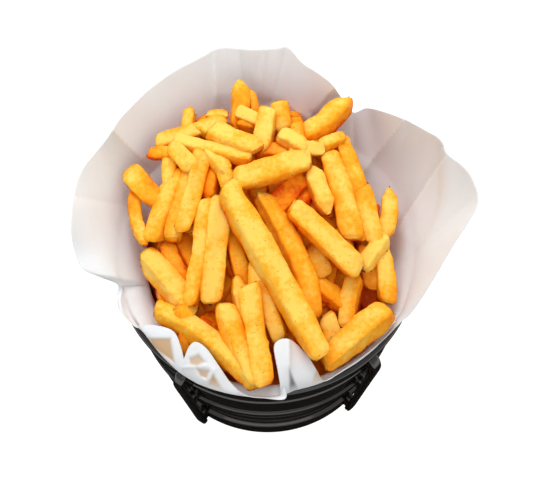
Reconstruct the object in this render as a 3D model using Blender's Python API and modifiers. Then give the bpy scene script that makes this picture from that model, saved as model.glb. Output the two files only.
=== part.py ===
"""French fries heaped in a paper-lined round basket, at real size in metres, +Z up.

The origin is the centre of the basket's flat base. The front, where the paper is low, faces -Y.
Three solids: basket (moulded plastic, with four standing lugs), paper (one thin wavy sheet) and
fries (a core with the fries that show fused on). Places on the heap and on the paper's free edge
were read by eye from one view of the real thing. They are kept as points of that view, and
read_points turns them into places in space.
"""
import math
import random
from collections import namedtuple

import bmesh
import bpy
import numpy as np
from mathutils import Vector
from mathutils.bvhtree import BVHTree

MM = 0.001

# Basket: driving sizes
RIM_RADIUS = 0.055
BASE_RADIUS = 0.0457
HEIGHT = 0.066
WALL = 0.0032
FLOOR = 0.0025
FLOOR_CORNER = 0.004
RIM_ROUND = 0.0016
FOOT_INSET = 0.0014
BASKET_STEPS = 40
# Bands and rings down the outside: height, and how far each stands out from the tapering wall
WALL_STEPS = (
    (0.0570, 0.0), (0.0550, -0.0011), (0.0525, -0.0011), (0.0512, -0.0002), (0.0386, -0.0002),
    (0.0375, -0.0013), (0.0360, -0.0013), (0.0352, 0.0003), (0.0316, 0.0003), (0.0308, -0.0011),
    (0.0294, -0.0011), (0.0285, -0.0001), (0.0248, -0.0001), (0.0236, -0.0016), (0.0128, -0.0016),
    (0.0114, 0.0002), (0.0016, 0.0002),
)
# Lugs: upright bars that stand off the wall. Their outline is given as height and distance from
# the wall, the windows between bar and wall as their lowest and highest height
LUG_ANGLES = (-123.0, -46.7, 57.0, 133.3)
LUG_WIDTH = 0.0042
LUG_ROOT = 0.0027
LUG_BAR = 0.0026
LUG_GAP_DEPTH = 0.0018
LUG_REACH = 0.0040
LUG_OUTLINE = (
    (0.0612, 0.0003), (0.0595, 0.0021), (0.0572, 0.0034), (0.0540, LUG_REACH), (0.0038, LUG_REACH),
    (0.0026, 0.0034), (0.0020, 0.0022),
)
LUG_WINDOWS = ((0.0375, 0.0475), (0.0120, 0.0290))

# Paper: one sheet pushed into the basket and flared over its rim
SHEET = 0.0006
GAP = 0.0004
PAPER_FLOOR = FLOOR + 0.0006
PAPER_CORNER = 0.006
EDGE_SAMPLES = 2
INSIDE_HEIGHTS = (0.012, 0.057)
FLARE_ROWS = (0.3, 0.65, 1.0)
FLARE_BEND = 0.42
# Where the lining stands off the wall: direction and width in degrees, and how far
SLACK_LEAST = 0.0015
SLACKS = ((207.0, 20.0, 0.0055), (-8.0, 30.0, 0.0025), (90.0, 45.0, 0.0015))
SLACK_HEIGHTS = (0.009, 0.040, 0.057, HEIGHT - 0.0012)
SLACK_SHARES = (0.2, 0.8, 1.0, 0.0)
# The sheet's way over the rim: beside its inner edge, round it, and out to where the sheet turns
# up, whose radius in millimetres differs with the direction in degrees
RIM_INNER = HEIGHT - 0.0012
RIM_CREST = (0.0522, HEIGHT + 0.0008)
RIM_LEAVE = HEIGHT + 0.0010
OVER_RIM = (
    (-180, 54.0), (-150, 55.0), (-138, 54.6), (-124, 55.3), (-114, 56.0), (-86, 56.0), (-80, 54.3),
    (-70, 54.1), (-60, 53.4), (-50, 53.4), (-40, 53.6), (-30, 54.5), (-10, 54.0), (180, 54.0),
)

# Fries
HEAP_RISE = 0.012
HEAP_TILT = 0.30
HEAP_CROWN = 0.012
HEAP_RADIUS = 0.052
SECTION = 0.86
SECTION_CHAMFER = 0.62
END_TAPER = 0.22
END_ROUND = 0.86
STRAIGHT_RINGS = (0.05, 0.95)
CURVED_RINGS = (0.05, 0.50, 0.95)
PLAIN_THICKNESS = 0.0073
PLAIN_SECTION = 0.93
CLEARANCE = 0.0009
END_CHANGES = (-1.6, -0.8, 0.0, 0.8, 1.6, 2.6, 4.0, 5.5, 7.0)
SHORTENINGS = 9
FILLERS = 3
FILLER_SPREAD = 0.038
SEED = 7
# The heap's inside: how far it lies under the smooth surface from the middle out, and its size
CORE_COLUMNS = 24
CORE_SHARES = (0.18, 0.4, 0.62, 0.8, 0.92, 1.0)
CORE_SINKS = (0.0062, 0.0062, 0.0068, 0.0105, 0.0180, 0.0250)
CORE_LEAST = 0.052
CORE_GAP = 0.0008
CORE_LEVELS = (0.030, 0.012)

# The view that places were read from: its size, focal length and roll, and where its eye stands
VIEW_SIZE = (550, 500)
VIEW_FOCAL = 907.0
VIEW_ROLL = math.radians(-0.18)
VIEW_TILT = math.radians(60.0)
VIEW_DISTANCE = 0.330
VIEW_AIM = np.array((0.0031, 0.0, 0.0685))
VIEW_FORWARD = np.array((0.0, math.cos(VIEW_TILT), -math.sin(VIEW_TILT)))
VIEW_UP = np.array((0.0, math.sin(VIEW_TILT), math.cos(VIEW_TILT)))
VIEW_EYE = VIEW_AIM - VIEW_DISTANCE * VIEW_FORWARD

# The paper's free edge, clockwise seen from above: a point of the view, and millimetres above the rim
EDGE = (
    ("left_notch", 118, 285, 6), ("left_wing_low", 100, 277, 14), ("left_wing_corner", 83, 269, 18),
    ("left_a", 74, 250, 22), ("left_b", 71, 228, 26), ("left_c", 73, 196, 29), ("left_d", 82, 169, 31),
    ("left_e", 96, 151, 31), ("left_f", 108, 137, 32), ("left_g", 119, 119, 33), ("left_h", 135, 102, 34),
    ("back_a", 151, 87, 34), ("back_b", 175, 70, 35), ("back_c", 200, 57, 35), ("back_d", 221, 47, 37),
    ("back_e", 250, 49, 36), ("back_f", 275, 48, 37), ("back_g", 288, 47, 37), ("back_h", 302, 62, 34),
    ("back_i", 317, 72, 34), ("back_j", 331, 83, 32), ("back_k", 341, 97, 27), ("dip", 353, 112, 23),
    ("right_a", 366, 108, 27), ("right_b", 382, 111, 33), ("right_c", 404, 119, 38),
    ("right_d", 427, 131, 43), ("right_e", 441, 140, 46), ("right_notch", 447, 153, 44),
    ("right_f", 461, 164, 47), ("right_g", 472, 177, 47), ("right_h", 479, 201, 44),
    ("right_i", 470, 220, 40), ("right_j", 452, 248, 32), ("right_k", 430, 285, 20),
    ("right_l", 412, 312, 9), ("right_rim", 400, 323, 5), ("front_a", 384, 339, 4),
    ("front_b", 363, 357, 4), ("front_c", 342, 371, 4), ("front_d", 324, 381, 4),
    ("peak_low", 316, 369, 6), ("peak_right", 306, 354, 9), ("peak_top", 291, 340, 13),
    ("peak_left", 279, 340, 14), ("peak_side", 274, 349, 13), ("peak_foot", 280, 375, 8),
    ("tip", 286, 398, 3), ("front_e", 264, 398, 3), ("front_f", 245, 395, 3),
    ("lobe_a", 231, 383, 4), ("lobe_b", 219, 366, 8), ("lobe_c", 206, 348, 11), ("lobe_d", 195, 342, 12),
    ("lobe_e", 188, 349, 10), ("lobe_f", 185, 361, 6), ("lobe_g", 181, 347, 8), ("lobe_h", 175, 333, 10),
    ("lobe_i", 164, 327, 10), ("lobe_j", 148, 325, 8), ("left_rim", 136, 327, 5),
    ("left_flap_low", 121, 312, 5), ("left_flap", 116, 299, 6),
)

# Folds that run from the rim to the free edge: the outer and inner end in the view, how far the
# paper stands towards the viewer in millimetres, and its width in degrees round the basket
Fold = namedtuple("Fold", "outer inner height width")
FOLD_RISES = (0.014, 0.034)
FOLDS = (
    Fold((112, 131), (150, 166), 2.4, 6.0), Fold((160, 82), (182, 112), -1.5, 7.0),
    Fold((205, 56), (214, 96), 1.3, 5.0), Fold((228, 50), (236, 84), -1.2, 4.0),
    Fold((250, 50), (252, 92), 1.5, 4.0), Fold((268, 50), (266, 92), -1.2, 4.0),
    Fold((286, 50), (280, 96), 1.5, 5.0), Fold((322, 78), (300, 118), 2.2, 6.0),
    Fold((353, 112), (350, 170), -3.0, 6.0), Fold((404, 121), (362, 174), 2.6, 6.0),
    Fold((428, 134), (384, 196), -1.8, 6.0), Fold((447, 155), (392, 232), 2.6, 5.0),
    Fold((474, 190), (400, 262), -1.5, 8.0), Fold((76, 196), (132, 208), 1.5, 8.0),
    Fold((82, 240), (130, 244), -1.5, 7.0),
)

# A fry: its centre line in the view, its thickness in millimetres, how far its axis lies above the
# heap's surface where it touches it, how much higher its last end is than its first, in
# millimetres, and the share of its thickness left at its first and last end
Fry = namedtuple("Fry", "path thick lift tilt first last", defaults=(0, 0.9, 0.9))
FRIES = (
    Fry(((226, 186), (250, 226), (272, 262), (298, 309), (322, 357)), 9.6, 2.6, 1),
    Fry(((234, 180), (272, 170), (311, 158)), 9.6, 4.2, -2),
    Fry(((262, 196), (284, 234), (300, 266), (309, 292), (312, 318)), 8.6, 0.0, 0),
    Fry(((291, 206), (326, 238), (360, 270)), 9.4, 4.0, 0),
    Fry(((309, 167), (319, 188), (329, 214)), 7.4, 0.5, 0, 0.3, 0.35),
    Fry(((303, 176), (272, 210)), 8.2, -2.0, 0),
    Fry(((327, 152), (340, 196), (352, 240)), 9.6, -1.0, 0),
    Fry(((341, 140), (353, 186), (366, 240)), 7.4, -2.0, 0),
    Fry(((361, 188), (368, 215), (376, 244)), 7.4, 0.5, 0),
    Fry(((389, 187), (390, 212), (385, 238)), 6.6, 0.5, 0, 0.3, 0.45),
    Fry(((381, 246), (386, 275), (387, 303)), 7.8, 0.5, 0),
    Fry(((386, 236), (362, 268)), 6.4, 2.0, 0),
    Fry(((389, 309), (357, 332), (324, 362)), 9.6, 3.0, 0),
    Fry(((370, 332), (350, 350)), 6.0, 0.5, 0),
    Fry(((356, 276), (350, 300), (346, 326)), 7.2, -1.5, 0),
    Fry(((326, 314), (336, 346)), 7.6, -1.5, 0),
    Fry(((311, 246), (326, 276)), 7.2, -3.0, 0),
    Fry(((314, 282), (345, 306)), 8.4, -3.5, 0),
    Fry(((221, 196), (217, 250), (210, 303)), 9.0, 1.0, 0),
    Fry(((206, 198), (200, 250), (190, 306)), 7.4, -1.0, 0),
    Fry(((144, 254), (170, 284), (196, 312)), 9.6, -2.5, 0, 0.75, 0.9),
    Fry(((180, 170), (166, 208), (153, 242)), 8.2, -1.5, 0),
    Fry(((192, 168), (182, 200), (172, 240)), 6.8, -1.5, 0),
    Fry(((204, 148), (194, 188), (181, 232)), 7.0, 0.5, 0),
    Fry(((172, 150), (170, 190)), 6.0, -0.5, 0),
    Fry(((130, 172), (160, 202)), 9.0, -1.0, 0, 0.9, 0.8),
    Fry(((134, 186), (136, 216), (145, 245)), 5.8, -0.5, 0, 0.6, 0.6),
    Fry(((149, 154), (180, 152)), 5.2, 1.0, 0),
    Fry(((157, 142), (192, 132), (226, 119)), 6.2, 0.0, 0),
    Fry(((190, 107), (187, 136)), 5.0, -1.0, 0, 0.25, 0.9),
    Fry(((207, 115), (228, 115)), 4.2, -0.5, 0),
    Fry(((240, 80), (241, 104), (238, 130)), 7.6, 0.5, -9, 0.25, 0.9),
    Fry(((250, 90), (254, 116)), 4.6, -1.0, -6, 0.4, 0.8),
    Fry(((238, 112), (262, 122)), 5.2, 2.0, 0),
    Fry(((210, 130), (258, 150)), 8.6, 3.0, 0),
    Fry(((176, 140), (212, 150), (250, 160)), 6.2, 1.8, 0),
    Fry(((172, 146), (194, 170)), 6.6, 2.2, 0),
    Fry(((206, 146), (228, 175)), 6.6, 2.0, 0),
    Fry(((268, 108), (264, 130), (260, 152)), 7.2, 1.0, -4),
    Fry(((279, 101), (285, 134)), 7.0, -0.5, -5),
    Fry(((278, 134), (306, 148)), 7.2, 2.8, 0),
    Fry(((296, 122), (299, 142)), 5.2, 1.0, -3),
    Fry(((304, 138), (327, 122), (350, 98)), 9.2, 2.0, 9, 0.9, 0.35),
    Fry(((320, 146), (344, 137)), 4.8, 1.5, 0),
    Fry(((155, 309), (203, 335), (257, 382)), 8.0, 1.0, 2),
    Fry(((223, 304), (238, 342), (256, 386)), 7.6, 0.5, 0),
    Fry(((236, 276), (243, 306), (253, 342)), 6.6, 0.0, 0, 0.5, 0.9),
    Fry(((249, 285), (255, 325), (265, 386)), 8.2, 2.0, 2),
    Fry(((251, 262), (264, 296), (281, 340)), 6.8, 0.0, 0, 0.3, 0.9),
    Fry(((163, 288), (170, 320)), 6.6, -4.5, 0),
    Fry(((166, 243), (182, 284)), 6.6, -4.5, 0),
    Fry(((203, 316), (229, 349)), 8.0, -4.5, 0),
    Fry(((178, 306), (187, 330), (184, 356)), 7.0, -2.5, 0),
    Fry(((230, 222), (238, 262), (246, 290)), 6.0, -3.0, 0),
    Fry(((212, 160), (208, 200)), 6.6, -2.5, 0),
    Fry(((196, 126), (222, 138)), 5.6, 0.0, 0),
    Fry(((256, 150), (290, 152)), 6.0, -1.5, 0),
    Fry(((312, 134), (330, 160)), 6.0, -2.0, 0),
    Fry(((246, 172), (262, 200)), 6.0, -3.5, 0),
    Fry(((334, 232), (352, 262)), 7.0, -3.5, 0),
    Fry(((366, 246), (372, 290)), 7.0, -3.0, 0),
)


def read_points(points, heights):
    """Places of points of the view at given heights: each is followed along its line of sight."""
    points = np.asarray(points, float).reshape(-1, 2)
    cos, sin = math.cos(VIEW_ROLL), math.sin(VIEW_ROLL)
    across, down = points[:, 0] - VIEW_SIZE[0] / 2, points[:, 1] - VIEW_SIZE[1] / 2
    right, low = cos * across + sin * down, -sin * across + cos * down
    ray = VIEW_FORWARD + right[:, None] / VIEW_FOCAL * np.array((1.0, 0, 0))
    ray = ray - low[:, None] / VIEW_FOCAL * VIEW_UP
    reach = (np.broadcast_to(heights, len(points)) - VIEW_EYE[2]) / ray[:, 2]
    return VIEW_EYE + ray * reach[:, None]


def heap_height(x, y):
    """The heap's smooth surface: highest behind the middle, sinking to the rim at the front."""
    return HEIGHT + HEAP_RISE + HEAP_TILT * y + HEAP_CROWN * (1 - (x * x + y * y) / HEAP_RADIUS ** 2)


def on_heap(points):
    """Places of points of the view on the heap's surface, by halving the height error twenty times."""
    heights = np.full(len(points), HEIGHT)
    for _ in range(20):
        place = read_points(points, heights)
        heights = 0.5 * (heights + heap_height(place[:, 0], place[:, 1]))
    return read_points(points, heights)


def wall_radius(height):
    """The basket's outer radius at a height, before its bands and rings."""
    return BASE_RADIUS + (RIM_RADIUS - BASE_RADIUS) * height / HEIGHT


def paper_radius(height):
    """The radius of the paper's middle layer where it lies against the basket's inside."""
    return wall_radius(height) - WALL - GAP - SHEET / 2


def lining_radius(height, turn):
    """The lining's radius at a height and direction, less the slack where it stands off the wall."""
    degrees = np.degrees(turn)
    slack = SLACK_LEAST
    for middle, width, depth in SLACKS:
        away = (degrees - middle + 180) % 360 - 180
        slack = slack + depth * np.exp(-(away / width) ** 2)
    return paper_radius(height) - slack * np.interp(height, SLACK_HEIGHTS, SLACK_SHARES)


def smooth_through(points, samples, closed=False):
    """Points on a smooth curve through the given ones, samples to each span (Catmull-Rom)."""
    p = np.asarray(points, float)
    if closed:
        before, after, last = np.roll(p, 1, 0), np.roll(p, -1, 0), np.roll(p, -2, 0)
    else:
        p = np.vstack((2 * p[0] - p[1], p, 2 * p[-1] - p[-2]))
        before, p, after, last = p[:-3], p[1:-2], p[2:-1], p[3:]
    t = np.arange(samples)[None, :, None] / samples
    a, b, c, d = (v[:, None, :] for v in (before, p, after, last))
    curve = 0.5 * (2 * b + (c - a) * t + (2 * a - 5 * b + 4 * c - d) * t ** 2
                   + (3 * b - a - 3 * c + d) * t ** 3)
    curve = curve.reshape(-1, p.shape[1])
    return curve if closed else np.vstack((curve, after[-1]))


def new_object(name, mesh, material):
    """A mesh object in the part's collection, with one material."""
    thing = bpy.data.objects.new(name, mesh)
    mesh.materials.append(material)
    bpy.data.collections["fries_in_basket"].objects.link(thing)
    return thing


def make_material(name, colour, roughness):
    """A plain shaded material."""
    material = bpy.data.materials.new(name)
    material.use_nodes = True
    shader = material.node_tree.nodes["Principled BSDF"]
    shader.inputs["Base Color"].default_value = (*colour, 1.0)
    shader.inputs["Roughness"].default_value = roughness
    return material


def freeze(thing):
    """Applies an object's modifiers to its mesh."""
    graph = bpy.context.evaluated_depsgraph_get()
    mesh = bpy.data.meshes.new_from_object(thing.evaluated_get(graph))
    thing.modifiers.clear()
    old, thing.data = thing.data, mesh
    bpy.data.meshes.remove(old)


def join_all(thing, pieces):
    """Fuses a list of objects into one with a single Boolean union, and removes them."""
    group = bpy.data.collections.new("to_join")
    bpy.context.scene.collection.children.link(group)
    for piece in pieces:
        for owner in list(piece.users_collection):
            owner.objects.unlink(piece)
        group.objects.link(piece)
    union = thing.modifiers.new("join", "BOOLEAN")
    union.operation = "UNION"
    union.operand_type = "COLLECTION"
    union.collection = group
    union.solver = "EXACT"
    freeze(thing)
    for piece in list(group.objects):
        bpy.data.objects.remove(piece)
    bpy.data.collections.remove(group)


def keep_largest_body(thing):
    """Merges near-equal points and drops loose scraps and sealed hollows, keeping the largest shell."""
    mesh = bmesh.new()
    mesh.from_mesh(thing.data)
    bmesh.ops.remove_doubles(mesh, verts=mesh.verts, dist=2e-6)
    bmesh.ops.triangulate(mesh, faces=mesh.faces)
    left, shells = set(mesh.faces), []
    while left:
        shell, front = set(), [left.pop()]
        while front:
            face = front.pop()
            shell.add(face)
            near = {f for edge in face.edges for f in edge.link_faces} & left
            left -= near
            front.extend(near)
        shells.append(shell)
    largest = max(shells, key=len)
    scraps = [face for shell in shells if shell is not largest for face in shell]
    bmesh.ops.delete(mesh, geom=scraps, context="FACES")
    mesh.to_mesh(thing.data)
    mesh.free()


def basket_profile():
    """The turned wall's outline as (radius, height): up the inside, over the rim, down the outside."""
    inner = wall_radius(HEIGHT) - WALL
    profile = [(0.0, FLOOR), (wall_radius(FLOOR) - WALL - FLOOR_CORNER, FLOOR)]
    profile.append((wall_radius(FLOOR + FLOOR_CORNER) - WALL, FLOOR + FLOOR_CORNER))
    profile += [(inner, HEIGHT - RIM_ROUND), (inner + 0.7 * RIM_ROUND, HEIGHT)]
    for angle in (80, 45, 10):
        turn = math.radians(angle)
        radius = RIM_RADIUS - RIM_ROUND * (1 - math.cos(turn))
        profile.append((radius, HEIGHT - RIM_ROUND * (1 - math.sin(turn))))
    for height, stand in WALL_STEPS:
        profile.append((wall_radius(height) + stand, height))
    return profile + [(BASE_RADIUS - FOOT_INSET, 0.0), (0.0, 0.0)]


def lug_loops():
    """The outline and the windows of a lug in its own plane, as (distance from the axis, height)."""
    top, toe = LUG_OUTLINE[0][0], LUG_OUTLINE[-1][0]
    outline = [(wall_radius(top) - LUG_ROOT, top)]
    outline += [(wall_radius(height) + reach, height) for height, reach in LUG_OUTLINE]
    loops = [outline + [(wall_radius(toe) - LUG_ROOT, toe)]]
    for low, high in LUG_WINDOWS:
        inner, outer = -LUG_GAP_DEPTH, LUG_REACH - LUG_BAR
        loops.append([(wall_radius(low) + inner, low), (wall_radius(low) + outer, low),
                      (wall_radius(high) + outer, high), (wall_radius(high) + inner, high)])
    return loops


def make_lug(angle, material):
    """One lug as a flat outline with windows, thickened, welded and turned to its place."""
    shape = bpy.data.curves.new("lug", "CURVE")
    shape.dimensions = "2D"
    shape.fill_mode = "BOTH"
    shape.extrude = LUG_WIDTH / 2
    for points in lug_loops():
        spline = shape.splines.new("POLY")
        spline.points.add(len(points) - 1)
        for spot, (x, y) in zip(spline.points, points):
            spot.co = (x, y, 0.0, 1.0)
        spline.use_cyclic_u = True
    flat = bpy.data.objects.new("lug_curve", shape)
    bpy.context.scene.collection.objects.link(flat)
    graph = bpy.context.evaluated_depsgraph_get()
    mesh = bpy.data.meshes.new_from_object(flat.evaluated_get(graph))
    bpy.data.objects.remove(flat)
    work = bmesh.new()
    work.from_mesh(mesh)
    bmesh.ops.remove_doubles(work, verts=work.verts, dist=1e-6)
    turn = math.radians(angle)
    for vert in work.verts:
        radius, height, side = vert.co
        vert.co = (radius * math.cos(turn) - side * math.sin(turn),
                   radius * math.sin(turn) + side * math.cos(turn), height)
    bmesh.ops.recalc_face_normals(work, faces=work.faces)
    work.to_mesh(mesh)
    work.free()
    return new_object("lug", mesh, material)


def make_basket(material):
    """The turned wall with its bands and rings, and the lugs fused on."""
    profile = basket_profile()
    mesh = bpy.data.meshes.new("basket")
    points = [(radius, 0.0, height) for radius, height in profile]
    mesh.from_pydata(points, [(i, i + 1) for i in range(len(points) - 1)], [])
    basket = new_object("basket", mesh, material)
    screw = basket.modifiers.new("turn", "SCREW")
    screw.steps = BASKET_STEPS
    screw.render_steps = BASKET_STEPS
    screw.use_merge_vertices = True
    screw.merge_threshold = 1e-5
    freeze(basket)
    work = bmesh.new()
    work.from_mesh(basket.data)
    bmesh.ops.remove_doubles(work, verts=work.verts, dist=1e-6)
    bmesh.ops.recalc_face_normals(work, faces=work.faces)
    work.to_mesh(basket.data)
    work.free()
    join_all(basket, [make_lug(angle, material) for angle in LUG_ANGLES])
    keep_largest_body(basket)
    basket.data.shade_smooth()
    basket.data.set_sharp_from_angle(angle=math.radians(35))
    return basket


def steady_angles(angles, least=0.4):
    """Angles made to fall steadily all the way round, by averaging a forward and a backward pass."""
    count = len(angles)
    turns = np.unwrap(angles)
    step = math.radians(least)
    ahead, back = turns.copy(), turns.copy()
    for i in range(1, count):
        ahead[i] = min(turns[i], ahead[i - 1] - step)
        back[count - 1 - i] = max(turns[count - 1 - i], back[count - i] + step)
    return 0.5 * (ahead + back)


def fold_push(row, share):
    """How far the folds move a row of the flare towards the viewer."""
    towards = VIEW_EYE - row
    towards /= np.linalg.norm(towards, axis=1)[:, None]
    angle = np.degrees(np.arctan2(row[:, 1], row[:, 0]))
    push = np.zeros(len(row))
    for fold in FOLDS:
        ends = read_points((fold.inner, fold.outer), HEIGHT + np.array(FOLD_RISES))
        ends = np.degrees(np.arctan2(ends[:, 1], ends[:, 0]))
        lean = (ends[1] - ends[0] + 180) % 360 - 180
        away = (angle - ends[0] - lean * share + 180) % 360 - 180
        push += fold.height * MM * np.exp(-(away / fold.width) ** 2)
    return towards * (push * share ** 1.2)[:, None]


def paper_rows(samples, inside_heights, shares):
    """The sheet's middle layer as rows of points: up the inside, over the rim, out to the free edge.

    Each column leaves the rim straight up and bends to its point of the free edge along a quadratic
    curve. Folds then push the sheet towards the viewer, more the further out it is.
    """
    spots = np.array([(x, y) for _, x, y, _ in EDGE])
    edge = read_points(spots, HEIGHT + MM * np.array([rise for *_, rise in EDGE]))
    turns = steady_angles(np.arctan2(edge[:, 1], edge[:, 0]))
    turns = np.append(turns, turns[0] - 2 * math.pi)
    edge = smooth_through(edge, samples, closed=True)
    turn = np.interp(np.arange(len(edge)) / samples, np.arange(len(turns)), turns)
    around = np.stack((np.cos(turn), np.sin(turn), np.zeros_like(turn)), 1)
    up = np.array((0, 0, 1.0))
    floor_radius = paper_radius(PAPER_FLOOR + PAPER_CORNER) - PAPER_CORNER
    rows = [around * floor_radius + up * PAPER_FLOOR]
    for height in (*inside_heights, RIM_INNER):
        rows.append(around * lining_radius(height, turn)[:, None] + up * height)
    rows.append(around * RIM_CREST[0] + up * RIM_CREST[1])
    directions, radii = zip(*OVER_RIM)
    over = MM * np.interp((np.degrees(turn) + 180) % 360 - 180, directions, radii)
    leave = around * over[:, None] + up * RIM_LEAVE
    rows.append(leave)
    reach = np.linalg.norm(edge - leave, axis=1)[:, None]
    bend = leave + up * reach * FLARE_BEND
    for t in shares:
        row = (1 - t) ** 2 * leave + 2 * t * (1 - t) * bend + t * t * edge
        rows.append(row + fold_push(row, t))
    return np.stack(rows)


def sheet_faces(rows, columns):
    """Triangles of a sheet that closes on itself round its columns, with a pole as point 0."""
    faces = [(0, 1 + i, 1 + (i + 1) % columns) for i in range(columns)]
    for low in range(1, 1 + columns * (rows - 1), columns):
        high = low + columns
        for i in range(columns):
            j = (i + 1) % columns
            faces += [(low + i, high + i, high + j), (low + i, high + j, low + j)]
    return faces


def paper_surface():
    """Points and triangles of the paper's middle layer."""
    rows = paper_rows(EDGE_SAMPLES, INSIDE_HEIGHTS, FLARE_ROWS)
    points = np.vstack(((0.0, 0.0, PAPER_FLOOR), rows.reshape(-1, 3))).tolist()
    return points, sheet_faces(*rows.shape[:2])


def make_paper(material):
    """The lining: an open wavy sheet, given its thickness."""
    points, faces = paper_surface()
    mesh = bpy.data.meshes.new("paper")
    mesh.from_pydata(points, [], faces)
    paper = new_object("paper", mesh, material)
    wall = paper.modifiers.new("thickness", "SOLIDIFY")
    wall.thickness = SHEET
    wall.offset = 0.0
    mesh.shade_smooth()
    return paper


def make_core(material):
    """The heap's inside: a dome under the fries that show, closed below by the lined basket's form."""
    turn = np.linspace(0, 2 * math.pi, CORE_COLUMNS, endpoint=False)
    around = np.stack((np.cos(turn), np.sin(turn), np.zeros_like(turn)), 1)
    floor = PAPER_FLOOR + SHEET / 2 + CORE_GAP
    margin = SHEET / 2 + CORE_GAP
    edge = (lining_radius(CORE_LEAST, turn) - margin)[:, None]
    rows = []
    for share, sink in zip(CORE_SHARES, CORE_SINKS):
        row = around * edge * share
        row[:, 2] = np.maximum(heap_height(row[:, 0], row[:, 1]) - sink, CORE_LEAST)
        rows.append(row)
    for height in CORE_LEVELS:
        rows.append(around * (lining_radius(height, turn) - margin)[:, None] + (0, 0, height))
    foot = paper_radius(PAPER_FLOOR + PAPER_CORNER) - PAPER_CORNER - margin
    rows.append(around * foot + (0, 0, floor))
    mesh = bmesh.new()
    rings = [[mesh.verts.new(place) for place in row] for row in rows]
    top = mesh.verts.new((0, 0, heap_height(0, 0) - CORE_SINKS[0]))
    bottom = mesh.verts.new((0, 0, floor))
    for i in range(CORE_COLUMNS):
        j = (i + 1) % CORE_COLUMNS
        mesh.faces.new((top, rings[0][i], rings[0][j]))
        mesh.faces.new((bottom, rings[-1][j], rings[-1][i]))
        for upper, lower in zip(rings, rings[1:]):
            mesh.faces.new((upper[i], lower[i], lower[j], upper[j]))
    bmesh.ops.triangulate(mesh, faces=mesh.faces)
    data = bpy.data.meshes.new("fries")
    mesh.to_mesh(data)
    mesh.free()
    return new_object("fries", data, material)


def lie_on_heap(fry, changes=(0.0, 0.0)):
    """A fry's centre line: read on the heap's surface, lifted until it rests on it, and tilted."""
    line = on_heap(fry.path)
    straight = np.linspace(0, 1, len(line))
    chord = line[0, 2] + (line[-1, 2] - line[0, 2]) * straight
    rest = chord + max(0.0, np.max(line[:, 2] - chord))
    change = changes[0] + (changes[1] - changes[0]) * straight
    heights = rest + MM * (fry.lift + change + fry.tilt * (straight - 0.5))
    return read_points(fry.path, heights)


def frames_along(points):
    """Directions along, beside and above a line at each of its points."""
    along = np.gradient(points, axis=0)
    along /= np.linalg.norm(along, axis=1)[:, None]
    side = np.cross(along, (0, 0, 1.0))
    side /= np.linalg.norm(side, axis=1)[:, None]
    return along, side, np.cross(side, along)


def plain_bar(line, thick):
    """A plain eight-sided bar round a fry's line, as a tree to test what the fry comes near."""
    curve = smooth_through(line, 2)
    along, side, top = frames_along(curve)
    curve[0] -= along[0] * CLEARANCE
    curve[-1] += along[-1] * CLEARANCE
    turn = np.radians(45 * np.arange(8))
    ring = side[:, None] * np.cos(turn)[None, :, None] + top[:, None] * np.sin(turn)[None, :, None]
    rows = curve[:, None] + ring * (thick / 2 + CLEARANCE)
    points = np.vstack((curve[0], rows.reshape(-1, 3), curve[-1]))
    faces = []
    for low in range(1, 1 + 8 * (len(rows) - 1), 8):
        faces += [(low + i, low + (i + 1) % 8, low + 8 + (i + 1) % 8, low + 8 + i) for i in range(8)]
    last = len(points) - 1
    faces += [(0, 1 + (i + 1) % 8, 1 + i) for i in range(8)]
    faces += [(last - 8 + i, last - 8 + (i + 1) % 8, last) for i in range(8)]
    return BVHTree.FromPolygons(points.tolist(), faces)


def place_fry(fry, guard):
    """The fry's line, its ends raised or lowered along the sight lines until it is clear, or shortened."""
    thick = fry.thick * MM
    changes = [(a, b) for a in END_CHANGES for b in END_CHANGES]
    for change in sorted(changes, key=lambda c: abs(c[0]) + abs(c[1]) + 0.5 * abs(c[0] - c[1])):
        line = lie_on_heap(fry, change)
        if not plain_bar(line, thick).overlap(guard):
            return line
    return shortened(lie_on_heap(fry, (1.0, 1.0)), thick, guard)


def shortened(line, thick, guard):
    """The line shortened and moved towards the basket's middle until the fry is clear, or None."""
    for _ in range(SHORTENINGS):
        middle = line.mean(0)
        line = middle + (line - middle) * 0.95 - np.array((middle[0], middle[1], 0.0)) * 0.02
        if not plain_bar(line, thick).overlap(guard):
            return line
    return None


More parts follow.
